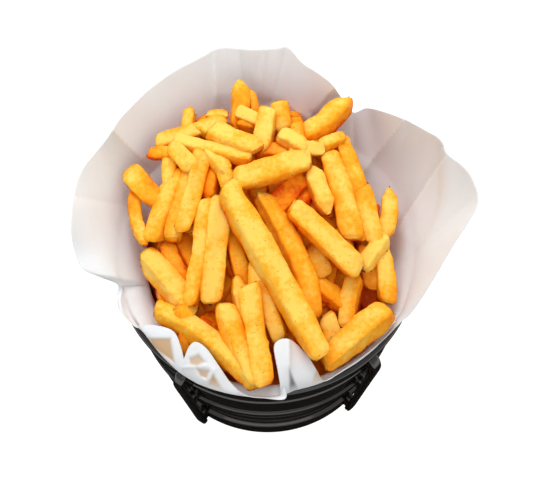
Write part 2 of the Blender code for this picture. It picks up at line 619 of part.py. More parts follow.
def fry_object(line, thick, first, last, material):
    """A fry as a bar drawn along a line: thick ones are chamfered and cut into rings, slight ones plain."""
    curve = smooth_through(line, 12)
    length = np.append(0, np.cumsum(np.linalg.norm(np.diff(curve, axis=0), axis=1)))
    plain = len(line) == 2 and thick < PLAIN_THICKNESS and min(first, last) > 0.8
    sides, rings = (4, ()) if plain else (8, CURVED_RINGS if len(line) > 2 else STRAIGHT_RINGS)
    mesh = bmesh.new()
    bmesh.ops.create_cone(mesh, cap_ends=True, segments=sides, radius1=1.0, radius2=1.0, depth=1.0)
    for share in rings:
        parts = mesh.verts[:] + mesh.edges[:] + mesh.faces[:]
        bmesh.ops.bisect_plane(mesh, geom=parts, plane_co=(0, 0, share - 0.5), plane_no=(0, 0, 1))

    def spot(distance):
        return np.array([np.interp(distance, length, curve[:, axis]) for axis in range(3)])

    for vert in mesh.verts:
        share = vert.co.z + 0.5
        at = share * length[-1]
        along = Vector(spot(at + 0.002) - spot(at - 0.002)).normalized()
        side = along.cross(Vector((0, 0, 1))).normalized()
        top = side.cross(along).normalized()
        size = SECTION * thick / 2
        size *= np.interp(share, (0.0, END_TAPER, 1 - END_TAPER, 1.0), (first, 1.0, 1.0, last))
        if plain:
            size *= PLAIN_SECTION
        elif not 0.01 < share < 0.99:
            size *= END_ROUND
        corner = math.atan2(vert.co.y, vert.co.x) + math.pi / sides
        across, up = (math.copysign(1.0 if abs(v) > 0.7 else SECTION_CHAMFER, v)
                      for v in (math.cos(corner), math.sin(corner)))
        vert.co = Vector(spot(at)) + (side * across + top * up) * size
    bmesh.ops.recalc_face_normals(mesh, faces=mesh.faces)
    bmesh.ops.triangulate(mesh, faces=mesh.faces)
    data = bpy.data.meshes.new("fry")
    mesh.to_mesh(data)
    mesh.free()
    return new_object("fry", data, material)


def filler_fries(draw):
    """Lines and thicknesses of fries that fill in under the others, spread by a golden-angle rule."""
    found = []
    for number in range(FILLERS):
        reach = FILLER_SPREAD * math.sqrt((number + 0.5) / FILLERS)
        angle = math.radians(137.5 * number)
        middle = np.array((reach * math.cos(angle), reach * math.sin(angle), 0.0))
        turn = math.radians(90 + draw.uniform(-42, 42))
        half = np.array((math.cos(turn), math.sin(turn), 0.0)) * draw.uniform(0.011, 0.016)
        line = np.array([middle - half, middle + half])
        line[:, 2] = heap_height(line[:, 0], line[:, 1]) - draw.uniform(0.0055, 0.0080)
        found.append((line, draw.uniform(0.0062, 0.0080)))
    return found


def make_fries(material):
    """The heap: the core with every fry fused on that keeps clear of the paper."""
    points, faces = paper_surface()
    guard = BVHTree.FromPolygons(points, faces)
    pieces = []
    for fry in FRIES:
        line = place_fry(fry, guard)
        if line is not None:
            pieces.append(fry_object(line, fry.thick * MM, fry.first, fry.last, material))
    for line, thick in filler_fries(random.Random(SEED)):
        line = shortened(line, thick, guard)
        if line is not None:
            pieces.append(fry_object(line, thick, 0.9, 0.9, material))
    core = make_core(material)
    join_all(core, pieces)
    keep_largest_body(core)
    return core


def main():
    """Builds the basket, its paper and the heap."""
    for thing in list(bpy.data.objects):
        bpy.data.objects.remove(thing)
    group = bpy.data.collections.new("fries_in_basket")
    bpy.context.scene.collection.children.link(group)
    make_basket(make_material("black_plastic", (0.012, 0.012, 0.013), 0.28))
    make_paper(make_material("white_paper", (0.88, 0.86, 0.84), 0.6))
    make_fries(make_material("fried_potato", (0.90, 0.55, 0.12), 0.45))


main()
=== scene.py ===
"""The looks of a portion of french fries heaped in a paper-lined round basket.

Laid out as an add-on and run as a script. Every surface is worked out with numpy in metres, +Z up,
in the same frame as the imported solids: the basket's base centre is the origin and the front,
where the paper is low, faces -Y.
"""
import math
from collections import namedtuple

import bpy
import numpy as np
from bpy.props import FloatProperty, FloatVectorProperty, IntProperty, PointerProperty
from mathutils import Matrix, Vector
from mathutils.bvhtree import BVHTree


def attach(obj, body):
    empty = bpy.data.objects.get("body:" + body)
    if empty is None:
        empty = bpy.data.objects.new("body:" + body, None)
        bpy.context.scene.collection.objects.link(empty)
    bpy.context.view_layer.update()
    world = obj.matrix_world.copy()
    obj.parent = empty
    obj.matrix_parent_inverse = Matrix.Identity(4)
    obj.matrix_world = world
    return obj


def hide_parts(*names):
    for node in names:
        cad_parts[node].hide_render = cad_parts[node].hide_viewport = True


bl_info = {
    "name": "Fries in a Paper-Lined Basket",
    "version": (1, 0, 0),
    "blender": (4, 5, 0),
    "location": "3D View > Sidebar > Fries",
    "description": "Builds the basket, its paper lining, the heap of fries and its seasoning",
    "category": "Object",
}

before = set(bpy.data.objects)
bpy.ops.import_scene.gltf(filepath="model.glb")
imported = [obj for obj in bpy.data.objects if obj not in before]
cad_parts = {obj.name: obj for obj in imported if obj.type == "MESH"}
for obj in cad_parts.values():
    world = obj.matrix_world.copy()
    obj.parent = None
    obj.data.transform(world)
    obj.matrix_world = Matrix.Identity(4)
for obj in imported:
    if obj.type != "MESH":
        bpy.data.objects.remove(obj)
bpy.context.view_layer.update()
BODY = "root"
MM = 0.001
UP = np.array((0.0, 0.0, 1.0))

# Basket
RIM_RADIUS = 0.055
BASE_RADIUS = 0.0457
HEIGHT = 0.066
WALL = 0.0032
FLOOR = 0.0025
RIM_ROUND = 0.0016
# The inside's corner at the floor, and where the floor turns flat as a share of the base's radius
INNER_CORNER = 0.004
FLAT_SHARE = 0.6
# Spacing of the outline's points, and the length over which its corners are rounded
OUTLINE_STEP = 0.0004
OUTLINE_SOFT = 0.0006
# The wall's bands and rings from the top down: height, and how far each stands out from the taper
WALL_STEPS = (
    (0.0570, 0.0), (0.0550, -0.0011), (0.0525, -0.0011), (0.0512, -0.0002), (0.0386, -0.0002),
    (0.0375, -0.0013), (0.0360, -0.0013), (0.0352, 0.0003), (0.0316, 0.0003), (0.0308, -0.0011),
    (0.0294, -0.0011), (0.0285, -0.0001), (0.0248, -0.0001), (0.0236, -0.0016), (0.0128, -0.0016),
    (0.0114, 0.0002), (0.0016, 0.0002),
)
LUG_ANGLES = (-123.0, -46.7, 57.0, 133.3)
LUG_WIDTH = 0.0042
LUG_BAR = 0.0026
LUG_ROOT = 0.0027
LUG_REACH = 0.0040
# The lug's outer edge: height and distance from the wall. Its bridges: lowest and highest height
LUG_EDGE = (
    (0.0612, 0.0003), (0.0595, 0.0021), (0.0572, 0.0034), (0.0540, LUG_REACH), (0.0400, LUG_REACH),
    (0.0200, LUG_REACH), (0.0038, LUG_REACH), (0.0026, 0.0036),
)
LUG_BRIDGES = ((0.0475, 0.0590), (0.0290, 0.0375), (0.0026, 0.0120))

# Paper
SHEET = 0.0006
GAP = 0.0004
PAPER_FLOOR = FLOOR + 0.0006
PAPER_CORNER = 0.006
# Where the lining stands off the wall: direction and width in degrees, and how far
SLACK_LEAST = 0.0015
SLACKS = ((207.0, 20.0, 0.0055), (-8.0, 30.0, 0.0025), (90.0, 45.0, 0.0015))
SLACK_HEIGHTS = (0.009, 0.040, 0.057, HEIGHT - 0.0012)
SLACK_SHARES = (0.2, 0.8, 1.0, 0.0)
# The sheet's way over the rim: beside its inner edge, round it, and out to where the sheet turns
# up, whose radius in millimetres differs with the direction in degrees
RIM_INNER = HEIGHT - 0.0012
RIM_CREST = (0.0522, HEIGHT + 0.0008)
RIM_LEAVE = HEIGHT + 0.0010
OVER_RIM = (
    (-180, 54.0), (-150, 55.0), (-138, 54.6), (-124, 55.3), (-114, 56.0), (-86, 56.0), (-80, 54.3),
    (-70, 54.1), (-60, 53.4), (-50, 53.4), (-40, 53.6), (-30, 54.5), (-10, 54.0), (180, 54.0),
)
FLARE_BEND = 0.42
# Half width in the view of the white line along a crease's ridge, partly whitened fibre and partly painted
# highlight, and of the painted shade on its steep side, and the strength of each for a millimetre of height
CREASE_LINE = 1.3
CREASE_WHITE_AND_HIGHLIGHT = 0.2
CREASE_SHADE = 9.0
CREASE_DARK = 0.065
# A crease's fading, over shares of its length before its inner end and beyond its outer one, and
# the height above the rim over which creases and hollows begin
CREASE_FADE = 3
CREASE_ENDS = (0.5, 4.5)
CRUMPLE_ONSET = 0.004
# How much the sheet cuts across above the rim instead of following it, by direction in degrees;
# for an ease of 1, how far the rows inside, on and beyond the rim move in and up
EASES = (
    (-180, 1.5), (-160, 1.5), (-146, 1.0), (-132, 0.4), (-122, 0.0), (-45, 0.0), (-32, 0.5),
    (-18, 1.2), (0, 1.5), (30, 1.5), (60, 1.2), (90, 1.0), (150, 1.2), (180, 1.5),
)
EASE_IN = (0.0045, 0.0025, 0.0009)
EASE_UP = (0.0, 0.0025, 0.0057)
EASE_FROM = 0.057
EASE_LEAN = 0.175
EASE_ROOM = 0.6
# Columns to a span of the free edge, the lowest row, and rows up the inside, over the rim and out
SHEET_COLUMNS = 12
SHEET_LOWEST = 0.009
SHEET_ROWS = (12, 4, 44)
# Rows and shares of the plain sheet that fries are tested against
GUARD_HEIGHTS = (0.012, 0.057)
GUARD_SHARES = (0.3, 0.65, 1.0)

# The heap's smooth surface: its rise above the rim, its slope towards the front, its dome and the
# dome's radius. Then how clear of the paper a fry must stay
HEAP_RISE = 0.012
HEAP_TILT = 0.30
HEAP_CROWN = 0.012
HEAP_RADIUS = 0.052
CLEARANCE = 0.0009
# A fry's section: its share of the thickness, where its points start and how they crowd at the
# corners, the superellipse's power and its change, and ranges of sunk faces, widths and depths
SECTION = 0.86
SECTION_START = 0.13
SECTION_CROWD = 0.16
SECTION_POWER = (7.0, 2.0)
FACE_SINKS = (0.02, 0.09)
WIDTHS = (0.96, 1.08)
DEPTHS = (0.82, 1.0)
# Where along a fry its taper and its wedge begin and end, and how thin the wedge leaves an end
TAPER_AT = (0, 0.22, 0.78, 1)
WEDGE_AT = (0, 0.3, 0.7, 1)
WEDGE_ENDS = (0.6, 1.0)
# Its bow as a share of its length, its turn and twist in degrees, and how slanted its ends are
BOW = 0.022
TURN = 24
TWIST = 14
SLANT = 0.4
# Its ends: rounding as a share of the thickness, rows on the flat, and directions round the edge
END_ROUND = 0.25
END_FLAT = (0.4, 0.75)
END_TURNS = (15, 45, 75)
# Over how much of the thickness a slanted end evens out and an end is browned, its flat's
# brownness, and the reach over which the line's direction is taken
SLANT_REACH = 0.7
BROWNED_REACH = 0.45
FLAT_BROWNED = 0.4
LOOK_AHEAD = 0.002
# Its lumps as shares of the thickness and lengths, and its blisters' length, onset and height
LUMPS = ((0.040, 0.020), (0.016, 0.0055))
BLISTERS = (0.0034, 0.9, 0.00032)
# Its crust's tone: added all over, on its darker side, less on top as painted light, and the noise's share
# and length
CRUST_BASE = 0.10
CRUST_SIDE = 0.16
CRUST_TOP_PAINTED_LIGHT = 0.30
CRUST_NOISE = (0.14, 0.016)
# Rows and columns of a fry that shows, and of one underneath with its ends' share of thickness
FRY_GRID = (42, 28)
HIDDEN_GRID = (14, 16)
HIDDEN_ENDS = (0.85, 0.85)
# How far each end may be raised or lowered, in millimetres, to keep a fry clear of the paper
END_CHANGES = (-1.6, -0.8, 0.0, 0.8, 1.6, 2.6, 4.0, 5.5, 7.0)
# A fry that finds no room is shortened and moved inwards by these shares, so many times at most
SHORTENINGS = 9
SHORTEN = 0.95
SHIFT_IN = 0.02
# How much painted shade darkens the crust below the heap's surface, and over what depth
FRY_PAINTED_SHADE = 0.32
FRY_PAINTED_SHADE_DEPTH = 0.010
# The fries underneath: depth and tone of each layer, whose darkness is painted shade, greater for the lower
# layer, how much lower they lie towards the front, how far out they reach, and ranges of their direction in
# degrees, half length, thickness and tilt
FILLER_SINK = (0.0064, 0.0122)
FILLER_PAINTED_SHADE_TONE = (0.45, 0.85)
FILLER_FRONT = 0.0025
FILLER_DIVIDE = 0.012
FILLER_REACH = 0.036
FILLER_TURN = 42
FILLER_HALVES = (0.013, 0.021)
FILLER_THICKS = (0.0060, 0.0086)
FILLER_TILT = 0.003
GOLDEN_ANGLE = 137.5
# The heap's inside: how far it lies under the smooth surface from the middle out, and its size
CORE_SHARES = (0.18, 0.4, 0.62, 0.8, 0.92, 1.0)
CORE_SINKS = (0.0120, 0.0120, 0.0125, 0.0150, 0.0190, 0.0250)
CORE_LEAST = 0.052
CORE_GAP = 0.0008
CORE_LEVELS = (0.030, 0.012)
CORE_COLUMNS = 96
CORE_ROWS = 20
CORE_FIRST = 0.06
CORE_EASE = 1.2
# Flecks: the range of their sizes, how flat they are, and how far up a face must point to hold one
FLECK_SIZES = (0.0009, 0.0020)
FLECK_FLATNESS = 0.18
FLECK_LEAST_UP = 0.1

# The view that places were read from: its size, focal length and roll, and where its eye stands
VIEW_SIZE = (550, 500)
VIEW_FOCAL = 907.0
VIEW_ROLL = math.radians(-0.18)
VIEW_TILT = math.radians(60.0)
VIEW_DISTANCE = 0.330
VIEW_AIM = np.array((0.0031, 0.0, 0.0685))
VIEW_FORWARD = np.array((0.0, math.cos(VIEW_TILT), -math.sin(VIEW_TILT)))
VIEW_UP = np.array((0.0, math.sin(VIEW_TILT), math.cos(VIEW_TILT)))
VIEW_RIGHT = np.array((1.0, 0.0, 0.0))
VIEW_EYE = VIEW_AIM - VIEW_DISTANCE * VIEW_FORWARD
SENSOR = 36.0
# The stage: how bright the floor is to the camera, how bright in reflections beyond the basket and
# from where, how dark it is there below, how far it reaches and how far it lies under the basket
FLOOR_BRIGHT = 0.95
REFLECTED_CARD = 1.7
CARD_FROM = (0.13, 0.18)
FLOOR_UNDER = 0.06
FLOOR_REACH = 1.5
FLOOR_DROP = 0.0002
WORLD_BRIGHT = 0.86
# Lamps, which point at the same place. The second shows only in reflections
Lamp = namedtuple("Lamp", "name place size watts diffuse")
LAMPS = (
    Lamp("key", (-0.05, 0.20, 0.64), (0.30, 0.30), 1.9, True),
    Lamp("gloss", (0.0, -0.55, 0.34), (0.70, 0.24), 0.8, False),
)
LAMP_AIM = (0.0, 0.0, 0.07)

# The paper's free edge, clockwise seen from above: a point of the view, and millimetres above the rim
EDGE = (
    ("left_notch", 118, 285, 6), ("left_wing_low", 100, 277, 14), ("left_wing_corner", 83, 269, 18),
    ("left_a", 74, 250, 22), ("left_b", 71, 228, 26), ("left_c", 73, 196, 29), ("left_d", 82, 169, 31),
    ("left_e", 96, 151, 31), ("left_f", 108, 137, 32), ("left_g", 119, 119, 33), ("left_h", 135, 102, 34),
    ("back_a", 151, 87, 34), ("back_b", 175, 70, 35), ("back_c", 200, 57, 35), ("back_d", 221, 47, 37),
    ("back_e", 250, 49, 36), ("back_f", 275, 48, 37), ("back_g", 288, 47, 37), ("back_h", 302, 62, 34),
    ("back_i", 317, 72, 34), ("back_j", 331, 83, 32), ("back_k", 341, 97, 27), ("dip", 353, 112, 23),
    ("right_a", 366, 108, 27), ("right_b", 382, 111, 33), ("right_c", 404, 119, 38),
    ("right_d", 427, 131, 43), ("right_e", 441, 140, 46), ("right_notch", 447, 153, 44),
    ("right_f", 461, 164, 47), ("right_g", 472, 177, 47), ("right_h", 479, 201, 44),
    ("right_i", 470, 220, 40), ("right_j", 452, 248, 32), ("right_k", 430, 285, 20),
    ("right_l", 412, 312, 9), ("right_rim", 400, 323, 5), ("front_a", 384, 339, 4),
    ("front_b", 363, 357, 4), ("front_c", 342, 371, 4), ("front_d", 324, 381, 4),
    ("peak_low", 316, 369, 6), ("peak_right", 306, 354, 9), ("peak_top", 291, 340, 13),
    ("peak_left", 279, 340, 14), ("peak_side", 274, 349, 13), ("peak_foot", 280, 375, 8),
    ("tip", 286, 398, 3), ("front_e", 264, 398, 3), ("front_f", 245, 395, 3),
    ("lobe_a", 231, 383, 4), ("lobe_b", 219, 366, 8), ("lobe_c", 206, 348, 11), ("lobe_d", 195, 342, 12),
    ("lobe_e", 188, 349, 10), ("lobe_f", 185, 361, 6), ("lobe_g", 181, 347, 8), ("lobe_h", 175, 333, 10),
    ("lobe_i", 164, 327, 10), ("lobe_j", 148, 325, 8), ("left_rim", 136, 327, 5),
    ("left_flap_low", 121, 312, 5), ("left_flap", 116, 299, 6),
)

# Folds that run from the rim to the free edge: the outer and inner end in the view, how far the
# paper stands towards the viewer in millimetres, and its width in degrees on its left-hand and
# right-hand side
Fold = namedtuple("Fold", "outer inner height left right")
FOLDS = (
    Fold((112, 131), (150, 166), 3.0, 3.0, 9.0), Fold((160, 82), (182, 112), -1.5, 7.0, 7.0),
    Fold((205, 56), (214, 96), 1.8, 5.0, 2.5), Fold((228, 50), (236, 84), -1.6, 3.0, 3.0),
    Fold((250, 50), (252, 92), 2.0, 2.5, 4.0), Fold((268, 50), (266, 92), -1.8, 2.5, 2.5),
    Fold((284, 50), (276, 96), 1.6, 2.0, 5.0), Fold((333, 88), (303, 126), 3.0, 12.0, 1.2),
    Fold((353, 112), (350, 170), -3.0, 6.0, 5.0), Fold((404, 121), (362, 174), 3.2, 7.0, 2.2),
    Fold((428, 134), (384, 196), -2.0, 5.0, 5.0), Fold((447, 155), (388, 246), 3.2, 2.2, 7.0),
    Fold((474, 190), (400, 262), -2.0, 8.0, 8.0), Fold((76, 196), (132, 208), 1.8, 8.0, 4.0),
    Fold((82, 240), (130, 244), -1.8, 7.0, 7.0), Fold((100, 277), (128, 262), 1.6, 5.0, 2.0),
)
# The heights at which a fold's inner and outer end are read, and how it grows on its way out
FOLD_HEIGHTS = (HEIGHT + 0.014, HEIGHT + 0.034)
FOLD_GROWTH = 1.2

# Sharper creases of the flare: outer and inner end in the view, height in millimetres, and the
# width on the left-hand and right-hand side in the view, looking outwards
CREASES = (
    Fold((112, 130), (148, 165), 2.4, 7.0, 24.0), Fold((333, 88), (303, 126), 4.0, 44.0, 4.0),
    Fold((405, 119), (358, 178), 2.6, 24.0, 6.0), Fold((447, 153), (386, 246), 3.0, 7.0, 34.0),
    Fold((353, 112), (354, 160), -1.6, 8.0, 8.0), Fold((472, 200), (404, 262), -1.2, 14.0, 14.0),
    Fold((214, 52), (216, 104), 1.9, 3.0, 20.0), Fold((240, 50), (244, 92), -1.4, 8.0, 4.0),
    Fold((264, 50), (258, 100), 1.9, 3.0, 12.0), Fold((284, 52), (274, 100), -1.3, 10.0, 4.0),
    Fold((78, 266), (124, 284), 0.9, 10.0, 5.0), Fold((74, 196), (126, 206), -0.8, 14.0, 7.0),
    Fold((289, 341), (289, 372), 1.3, 4.0, 2.0), Fold((213, 372), (206, 384), 0.9, 2.0, 2.0),
    Fold((188, 367), (208, 366), 0.8, 2.0, 2.0),
)
# Hollows in the paper: corners in the view, clockwise, depth in millimetres, and how strongly painted warm
# shade and painted deep shade have darkened it
Hollow = namedtuple("Hollow", "corners depth grease shade", defaults=(0.0,))
HOLLOWS = (
    Hollow(((149, 338), (171, 338), (175, 364), (152, 347)), 0.8, 0.95),
    Hollow(((189, 358), (199, 354), (206, 362), (197, 367), (190, 365)), 0.8, 0.75),
    Hollow(((196, 368), (211, 370), (207, 379), (200, 377)), 0.8, 0.75),
    Hollow(((213, 373), (224, 391), (207, 385)), 0.5, 0.95),
    Hollow(((316, 367), (328, 371), (328, 380), (311, 385)), 0.3, 0.75),
    Hollow(((289, 368), (299, 390), (289, 396)), 0.2, 0.0, 0.85),
    Hollow(((256, 98), (274, 99), (272, 106), (258, 106)), 0.6, 0.05, 0.12),
    Hollow(((309, 110), (327, 112), (325, 118), (311, 117)), 0.6, 0.0, 0.16),
)
# How wide a hollow's edge is in the view, and how much of it lies outside the corners
HOLLOW_EDGE = 4.0
HOLLOW_SPREAD = 0.4

# A fry: its centre line in the view, its thickness in millimetres, how far its axis lies above the heap's
# surface where it touches it, its tone from pale 0 to dark 1, its own colour and, for fries that lie deep or
# under others, painted shade as well, how much higher its last end is than its first, in millimetres, and the
# share of its thickness left at its ends
Fry = namedtuple("Fry", "path thick lift tone tilt first last", defaults=(0, 0.9, 0.9))
FRIES = (
    Fry(((226, 186), (250, 226), (272, 262), (298, 309), (322, 357)), 9.6, 2.6, 0.3, 1),
    Fry(((234, 180), (272, 170), (311, 158)), 9.6, 4.2, 0.35, -2),
    Fry(((262, 196), (284, 234), (300, 266), (309, 292), (312, 318)), 8.6, 0.0, 0.45),
    Fry(((291, 206), (326, 238), (360, 270)), 9.4, 4.0, 0.35),
    Fry(((309, 167), (319, 188), (329, 214)), 7.4, 0.5, 0.05, 0, 0.3, 0.35),
    Fry(((303, 176), (272, 210)), 8.2, -2.0, 0.75),
    Fry(((327, 152), (340, 196), (352, 240)), 9.6, -1.0, 0.55),
    Fry(((341, 140), (353, 186), (366, 240)), 7.4, -2.0, 0.4),
    Fry(((361, 188), (368, 215), (376, 244)), 7.4, 0.5, 0.2),
    Fry(((389, 187), (390, 212), (385, 238)), 6.6, 0.5, 0.4, 0, 0.3, 0.45),
    Fry(((381, 246), (386, 275), (387, 303)), 7.8, 0.5, 0.3),
    Fry(((386, 236), (362, 268)), 6.4, 2.0, 0.15),
    Fry(((389, 309), (357, 332), (324, 362)), 9.6, 3.0, 0.2),
    Fry(((370, 332), (350, 350)), 6.0, 0.5, 0.7),
    Fry(((356, 276), (350, 300), (346, 326)), 7.2, -1.5, 0.35),
    Fry(((326, 314), (336, 346)), 7.6, -1.5, 0.3),
    Fry(((311, 246), (326, 276)), 7.2, -3.0, 0.25),
    Fry(((314, 282), (345, 306)), 8.4, -3.5, 0.6),
    Fry(((221, 196), (217, 250), (210, 303)), 9.0, 1.0, 0.2),
    Fry(((206, 198), (200, 250), (190, 306)), 7.4, -1.0, 0.3),
    Fry(((144, 254), (170, 284), (196, 312)), 9.6, -2.5, 0.2, 0, 0.75, 0.9),
    Fry(((180, 170), (166, 208), (153, 242)), 8.2, -1.5, 0.25),
    Fry(((192, 168), (182, 200), (172, 240)), 6.8, -1.5, 0.35),
    Fry(((204, 148), (194, 188), (181, 232)), 7.0, 0.5, 0.25),
    Fry(((172, 150), (170, 190)), 6.0, -0.5, 0.3),
    Fry(((130, 172), (160, 202)), 9.0, -1.0, 0.45, 0, 0.9, 0.8),
    Fry(((134, 186), (136, 216), (145, 245)), 5.8, -0.5, 0.45, 0, 0.6, 0.6),
    Fry(((149, 154), (180, 152)), 5.2, 1.0, 0.5),
    Fry(((157, 142), (192, 132), (226, 119)), 6.2, 0.0, 0.25),
    Fry(((190, 107), (187, 136)), 5.0, -1.0, 0.5, 0, 0.25, 0.9),
    Fry(((207, 115), (228, 115)), 4.2, -0.5, 0.4),
    Fry(((240, 80), (241, 104), (238, 130)), 7.6, 0.5, 0.4, -9, 0.25, 0.9),
    Fry(((250, 90), (254, 116)), 4.6, -1.0, 0.65, -6, 0.4, 0.8),
    Fry(((238, 112), (262, 122)), 5.2, 2.0, 0.1),
    Fry(((210, 130), (258, 150)), 8.6, 3.0, 0.1),
    Fry(((176, 140), (212, 150), (250, 160)), 6.2, 1.8, 0.15),
    Fry(((172, 146), (194, 170)), 6.6, 2.2, 0.1),
    Fry(((206, 146), (228, 175)), 6.6, 2.0, 0.15),
    Fry(((268, 108), (264, 130), (260, 152)), 7.2, 1.0, 0.2, -4),
    Fry(((279, 101), (285, 134)), 7.0, -0.5, 0.55, -5),
    Fry(((278, 134), (306, 148)), 7.2, 2.8, 0.1),
    Fry(((296, 122), (299, 142)), 5.2, 1.0, 0.55, -3),
    Fry(((304, 138), (327, 122), (350, 98)), 9.2, 2.0, 0.45, 9, 0.9, 0.35),
    Fry(((320, 146), (344, 137)), 4.8, 1.5, 0.2),
    Fry(((155, 309), (203, 335), (257, 382)), 8.0, 1.0, 0.25, 2),
    Fry(((223, 304), (238, 342), (256, 386)), 7.6, 0.5, 0.3),
    Fry(((236, 276), (243, 306), (253, 342)), 6.6, 0.0, 0.35, 0, 0.5, 0.9),
    Fry(((249, 285), (255, 325), (265, 386)), 8.2, 2.0, 0.3, 2),
    Fry(((251, 262), (264, 296), (281, 340)), 6.8, 0.0, 0.5, 0, 0.3, 0.9),
    Fry(((163, 288), (170, 320)), 6.6, -4.5, 0.85),
    Fry(((166, 243), (182, 284)), 6.6, -4.5, 0.9),
    Fry(((203, 316), (229, 349)), 8.0, -4.5, 0.9),
    Fry(((178, 306), (187, 330), (184, 356)), 7.0, -2.5, 0.5),
    Fry(((230, 222), (238, 262), (246, 290)), 6.0, -3.0, 0.85),
    Fry(((212, 160), (208, 200)), 6.6, -2.5, 0.8),
    Fry(((196, 126), (222, 138)), 5.6, 0.0, 0.3),
    Fry(((256, 150), (290, 152)), 6.0, -1.5, 0.4),
    Fry(((312, 134), (330, 160)), 6.0, -2.0, 0.4),
    Fry(((246, 172), (262, 200)), 6.0, -3.5, 0.7),
    Fry(((334, 232), (352, 262)), 7.0, -3.5, 0.6),
    Fry(((366, 246), (372, 290)), 7.0, -3.0, 0.5),
    Fry(((240, 121), (258, 125)), 6.6, -0.5, 0.6),
    Fry(((290, 147), (324, 150)), 5.6, 1.6, 0.1),
    Fry(((224, 170), (232, 194)), 6.2, 1.0, 0.4),
    Fry(((262, 128), (288, 126)), 6.0, -2.5, 0.3),
)


def unit(vectors):
    """Vectors made one long."""
    return vectors / np.linalg.norm(vectors, axis=-1, keepdims=True)


def ring_turns(columns):
    """Directions spread evenly over a full turn."""
    return np.linspace(0, 2 * math.pi, columns, endpoint=False)


def outwards(turn):
    """Level directions away from the basket's axis."""
    return np.stack((np.cos(turn), np.sin(turn), np.zeros_like(turn)), -1)


def half_turn(degrees):
    """Angles brought between -180 and 180 degrees."""
    return (degrees + 180) % 360 - 180


def bell(away, width):
    """A bell curve of height 1."""
    return np.exp(-(away / width) ** 2)


def smooth_step(share):
    """A share from 0 to 1 eased at both ends."""
    return share * share * (3 - 2 * share)


def frame_along(along):
    """Unit vectors along a line, level to its side and above it, from its directions."""
    along = unit(along)
    side = unit(np.cross(along, UP))
    return along, side, np.cross(side, along)


def superellipse(turn, power):
    """How far a rounded square's outline lies from its middle: 1 over the p-norm of cosine and sine."""
    return (np.abs(np.cos(turn)) ** power + np.abs(np.sin(turn)) ** power) ** (-1 / power)


def read_points(points, heights):
    """Places of points of the view at given heights: each is followed along its line of sight."""
    points = np.asarray(points, float).reshape(-1, 2)
    cos, sin = math.cos(VIEW_ROLL), math.sin(VIEW_ROLL)
    across, down = points[:, 0] - VIEW_SIZE[0] / 2, points[:, 1] - VIEW_SIZE[1] / 2
    right, low = cos * across + sin * down, -sin * across + cos * down
    ray = VIEW_FORWARD + right[:, None] / VIEW_FOCAL * VIEW_RIGHT - low[:, None] / VIEW_FOCAL * VIEW_UP
    reach = (np.broadcast_to(heights, len(points)) - VIEW_EYE[2]) / ray[:, 2]
    return VIEW_EYE + ray * reach[:, None]


def heap_height(x, y):
    """The heap's smooth surface: a flat dome that sinks towards the front."""
    return HEIGHT + HEAP_RISE + HEAP_TILT * y + HEAP_CROWN * (1 - (x * x + y * y) / HEAP_RADIUS ** 2)


def on_heap(points):
    """Places of points of the view on the heap's surface, by halving the height error twenty times."""
    heights = np.full(len(points), HEIGHT)
    for _ in range(20):
        place = read_points(points, heights)
        heights = 0.5 * (heights + heap_height(place[:, 0], place[:, 1]))
    return read_points(points, heights)


def wall_radius(height):
    """The basket's outer radius at a height: a straight taper."""
    return BASE_RADIUS + (RIM_RADIUS - BASE_RADIUS) * height / HEIGHT


def paper_radius(height):
    """The radius of the paper's middle layer where it lies against the basket's inside."""
    return wall_radius(height) - WALL - GAP - SHEET / 2


def lining_radius(height, turn):
    """The lining's radius at a height and direction: the wall's, less the slack, a sum of bell curves."""
    slack = SLACK_LEAST
    for middle, width, depth in SLACKS:
        slack = slack + depth * bell(half_turn(np.degrees(turn) - middle), width)
    return paper_radius(height) - slack * np.interp(height, SLACK_HEIGHTS, SLACK_SHARES)


def smooth_through(points, samples, closed=False):
    """Points on a Catmull-Rom curve through the given ones, samples to each span."""
    p = np.asarray(points, float)
    if closed:
        before, after, last = np.roll(p, 1, 0), np.roll(p, -1, 0), np.roll(p, -2, 0)
    else:
        p = np.vstack((2 * p[0] - p[1], p, 2 * p[-1] - p[-2]))
        before, p, after, last = p[:-3], p[1:-2], p[2:-1], p[3:]
    t = np.arange(samples)[None, :, None] / samples
    a, b, c, d = (v[:, None, :] for v in (before, p, after, last))
    curve = 0.5 * (2 * b + (c - a) * t + (2 * a - 5 * b + 4 * c - d) * t ** 2
                   + (3 * b - a - 3 * c + d) * t ** 3)
    curve = curve.reshape(-1, p.shape[1])
    return curve if closed else np.vstack((curve, after[-1]))


def soft_noise(points, size, seed, waves=14):
    """Smooth noise of about -1 to 1 in space: a sum of plane waves of like length, each its own way."""
    draw = np.random.default_rng(seed)
    ways = unit(draw.normal(size=(waves, 3)))
    pitch = 2 * math.pi / size * draw.uniform(0.7, 1.4, waves)
    phase = draw.uniform(0, 2 * math.pi, waves)
    return np.sin(np.asarray(points) @ (ways * pitch[:, None]).T + phase).sum(-1) / math.sqrt(waves)


def tube_faces(rows, columns):
    """Quads and triangles of a closed tube: a pole, rows of points round it, and a second pole."""
    i = np.arange(columns)
    j = (i + 1) % columns
    low = 1 + columns * np.arange(rows - 1)[:, None]
    quads = np.stack((low + i, low + j, low + columns + j, low + columns + i), -1).reshape(-1, 4)
    end = 1 + (rows - 1) * columns
    start_fan = np.stack((np.zeros_like(i), 1 + j, 1 + i), 1)
    end_fan = np.stack((end + i, end + j, np.full_like(i, end + columns)), 1)
    return quads, np.vstack((start_fan, end_fan))


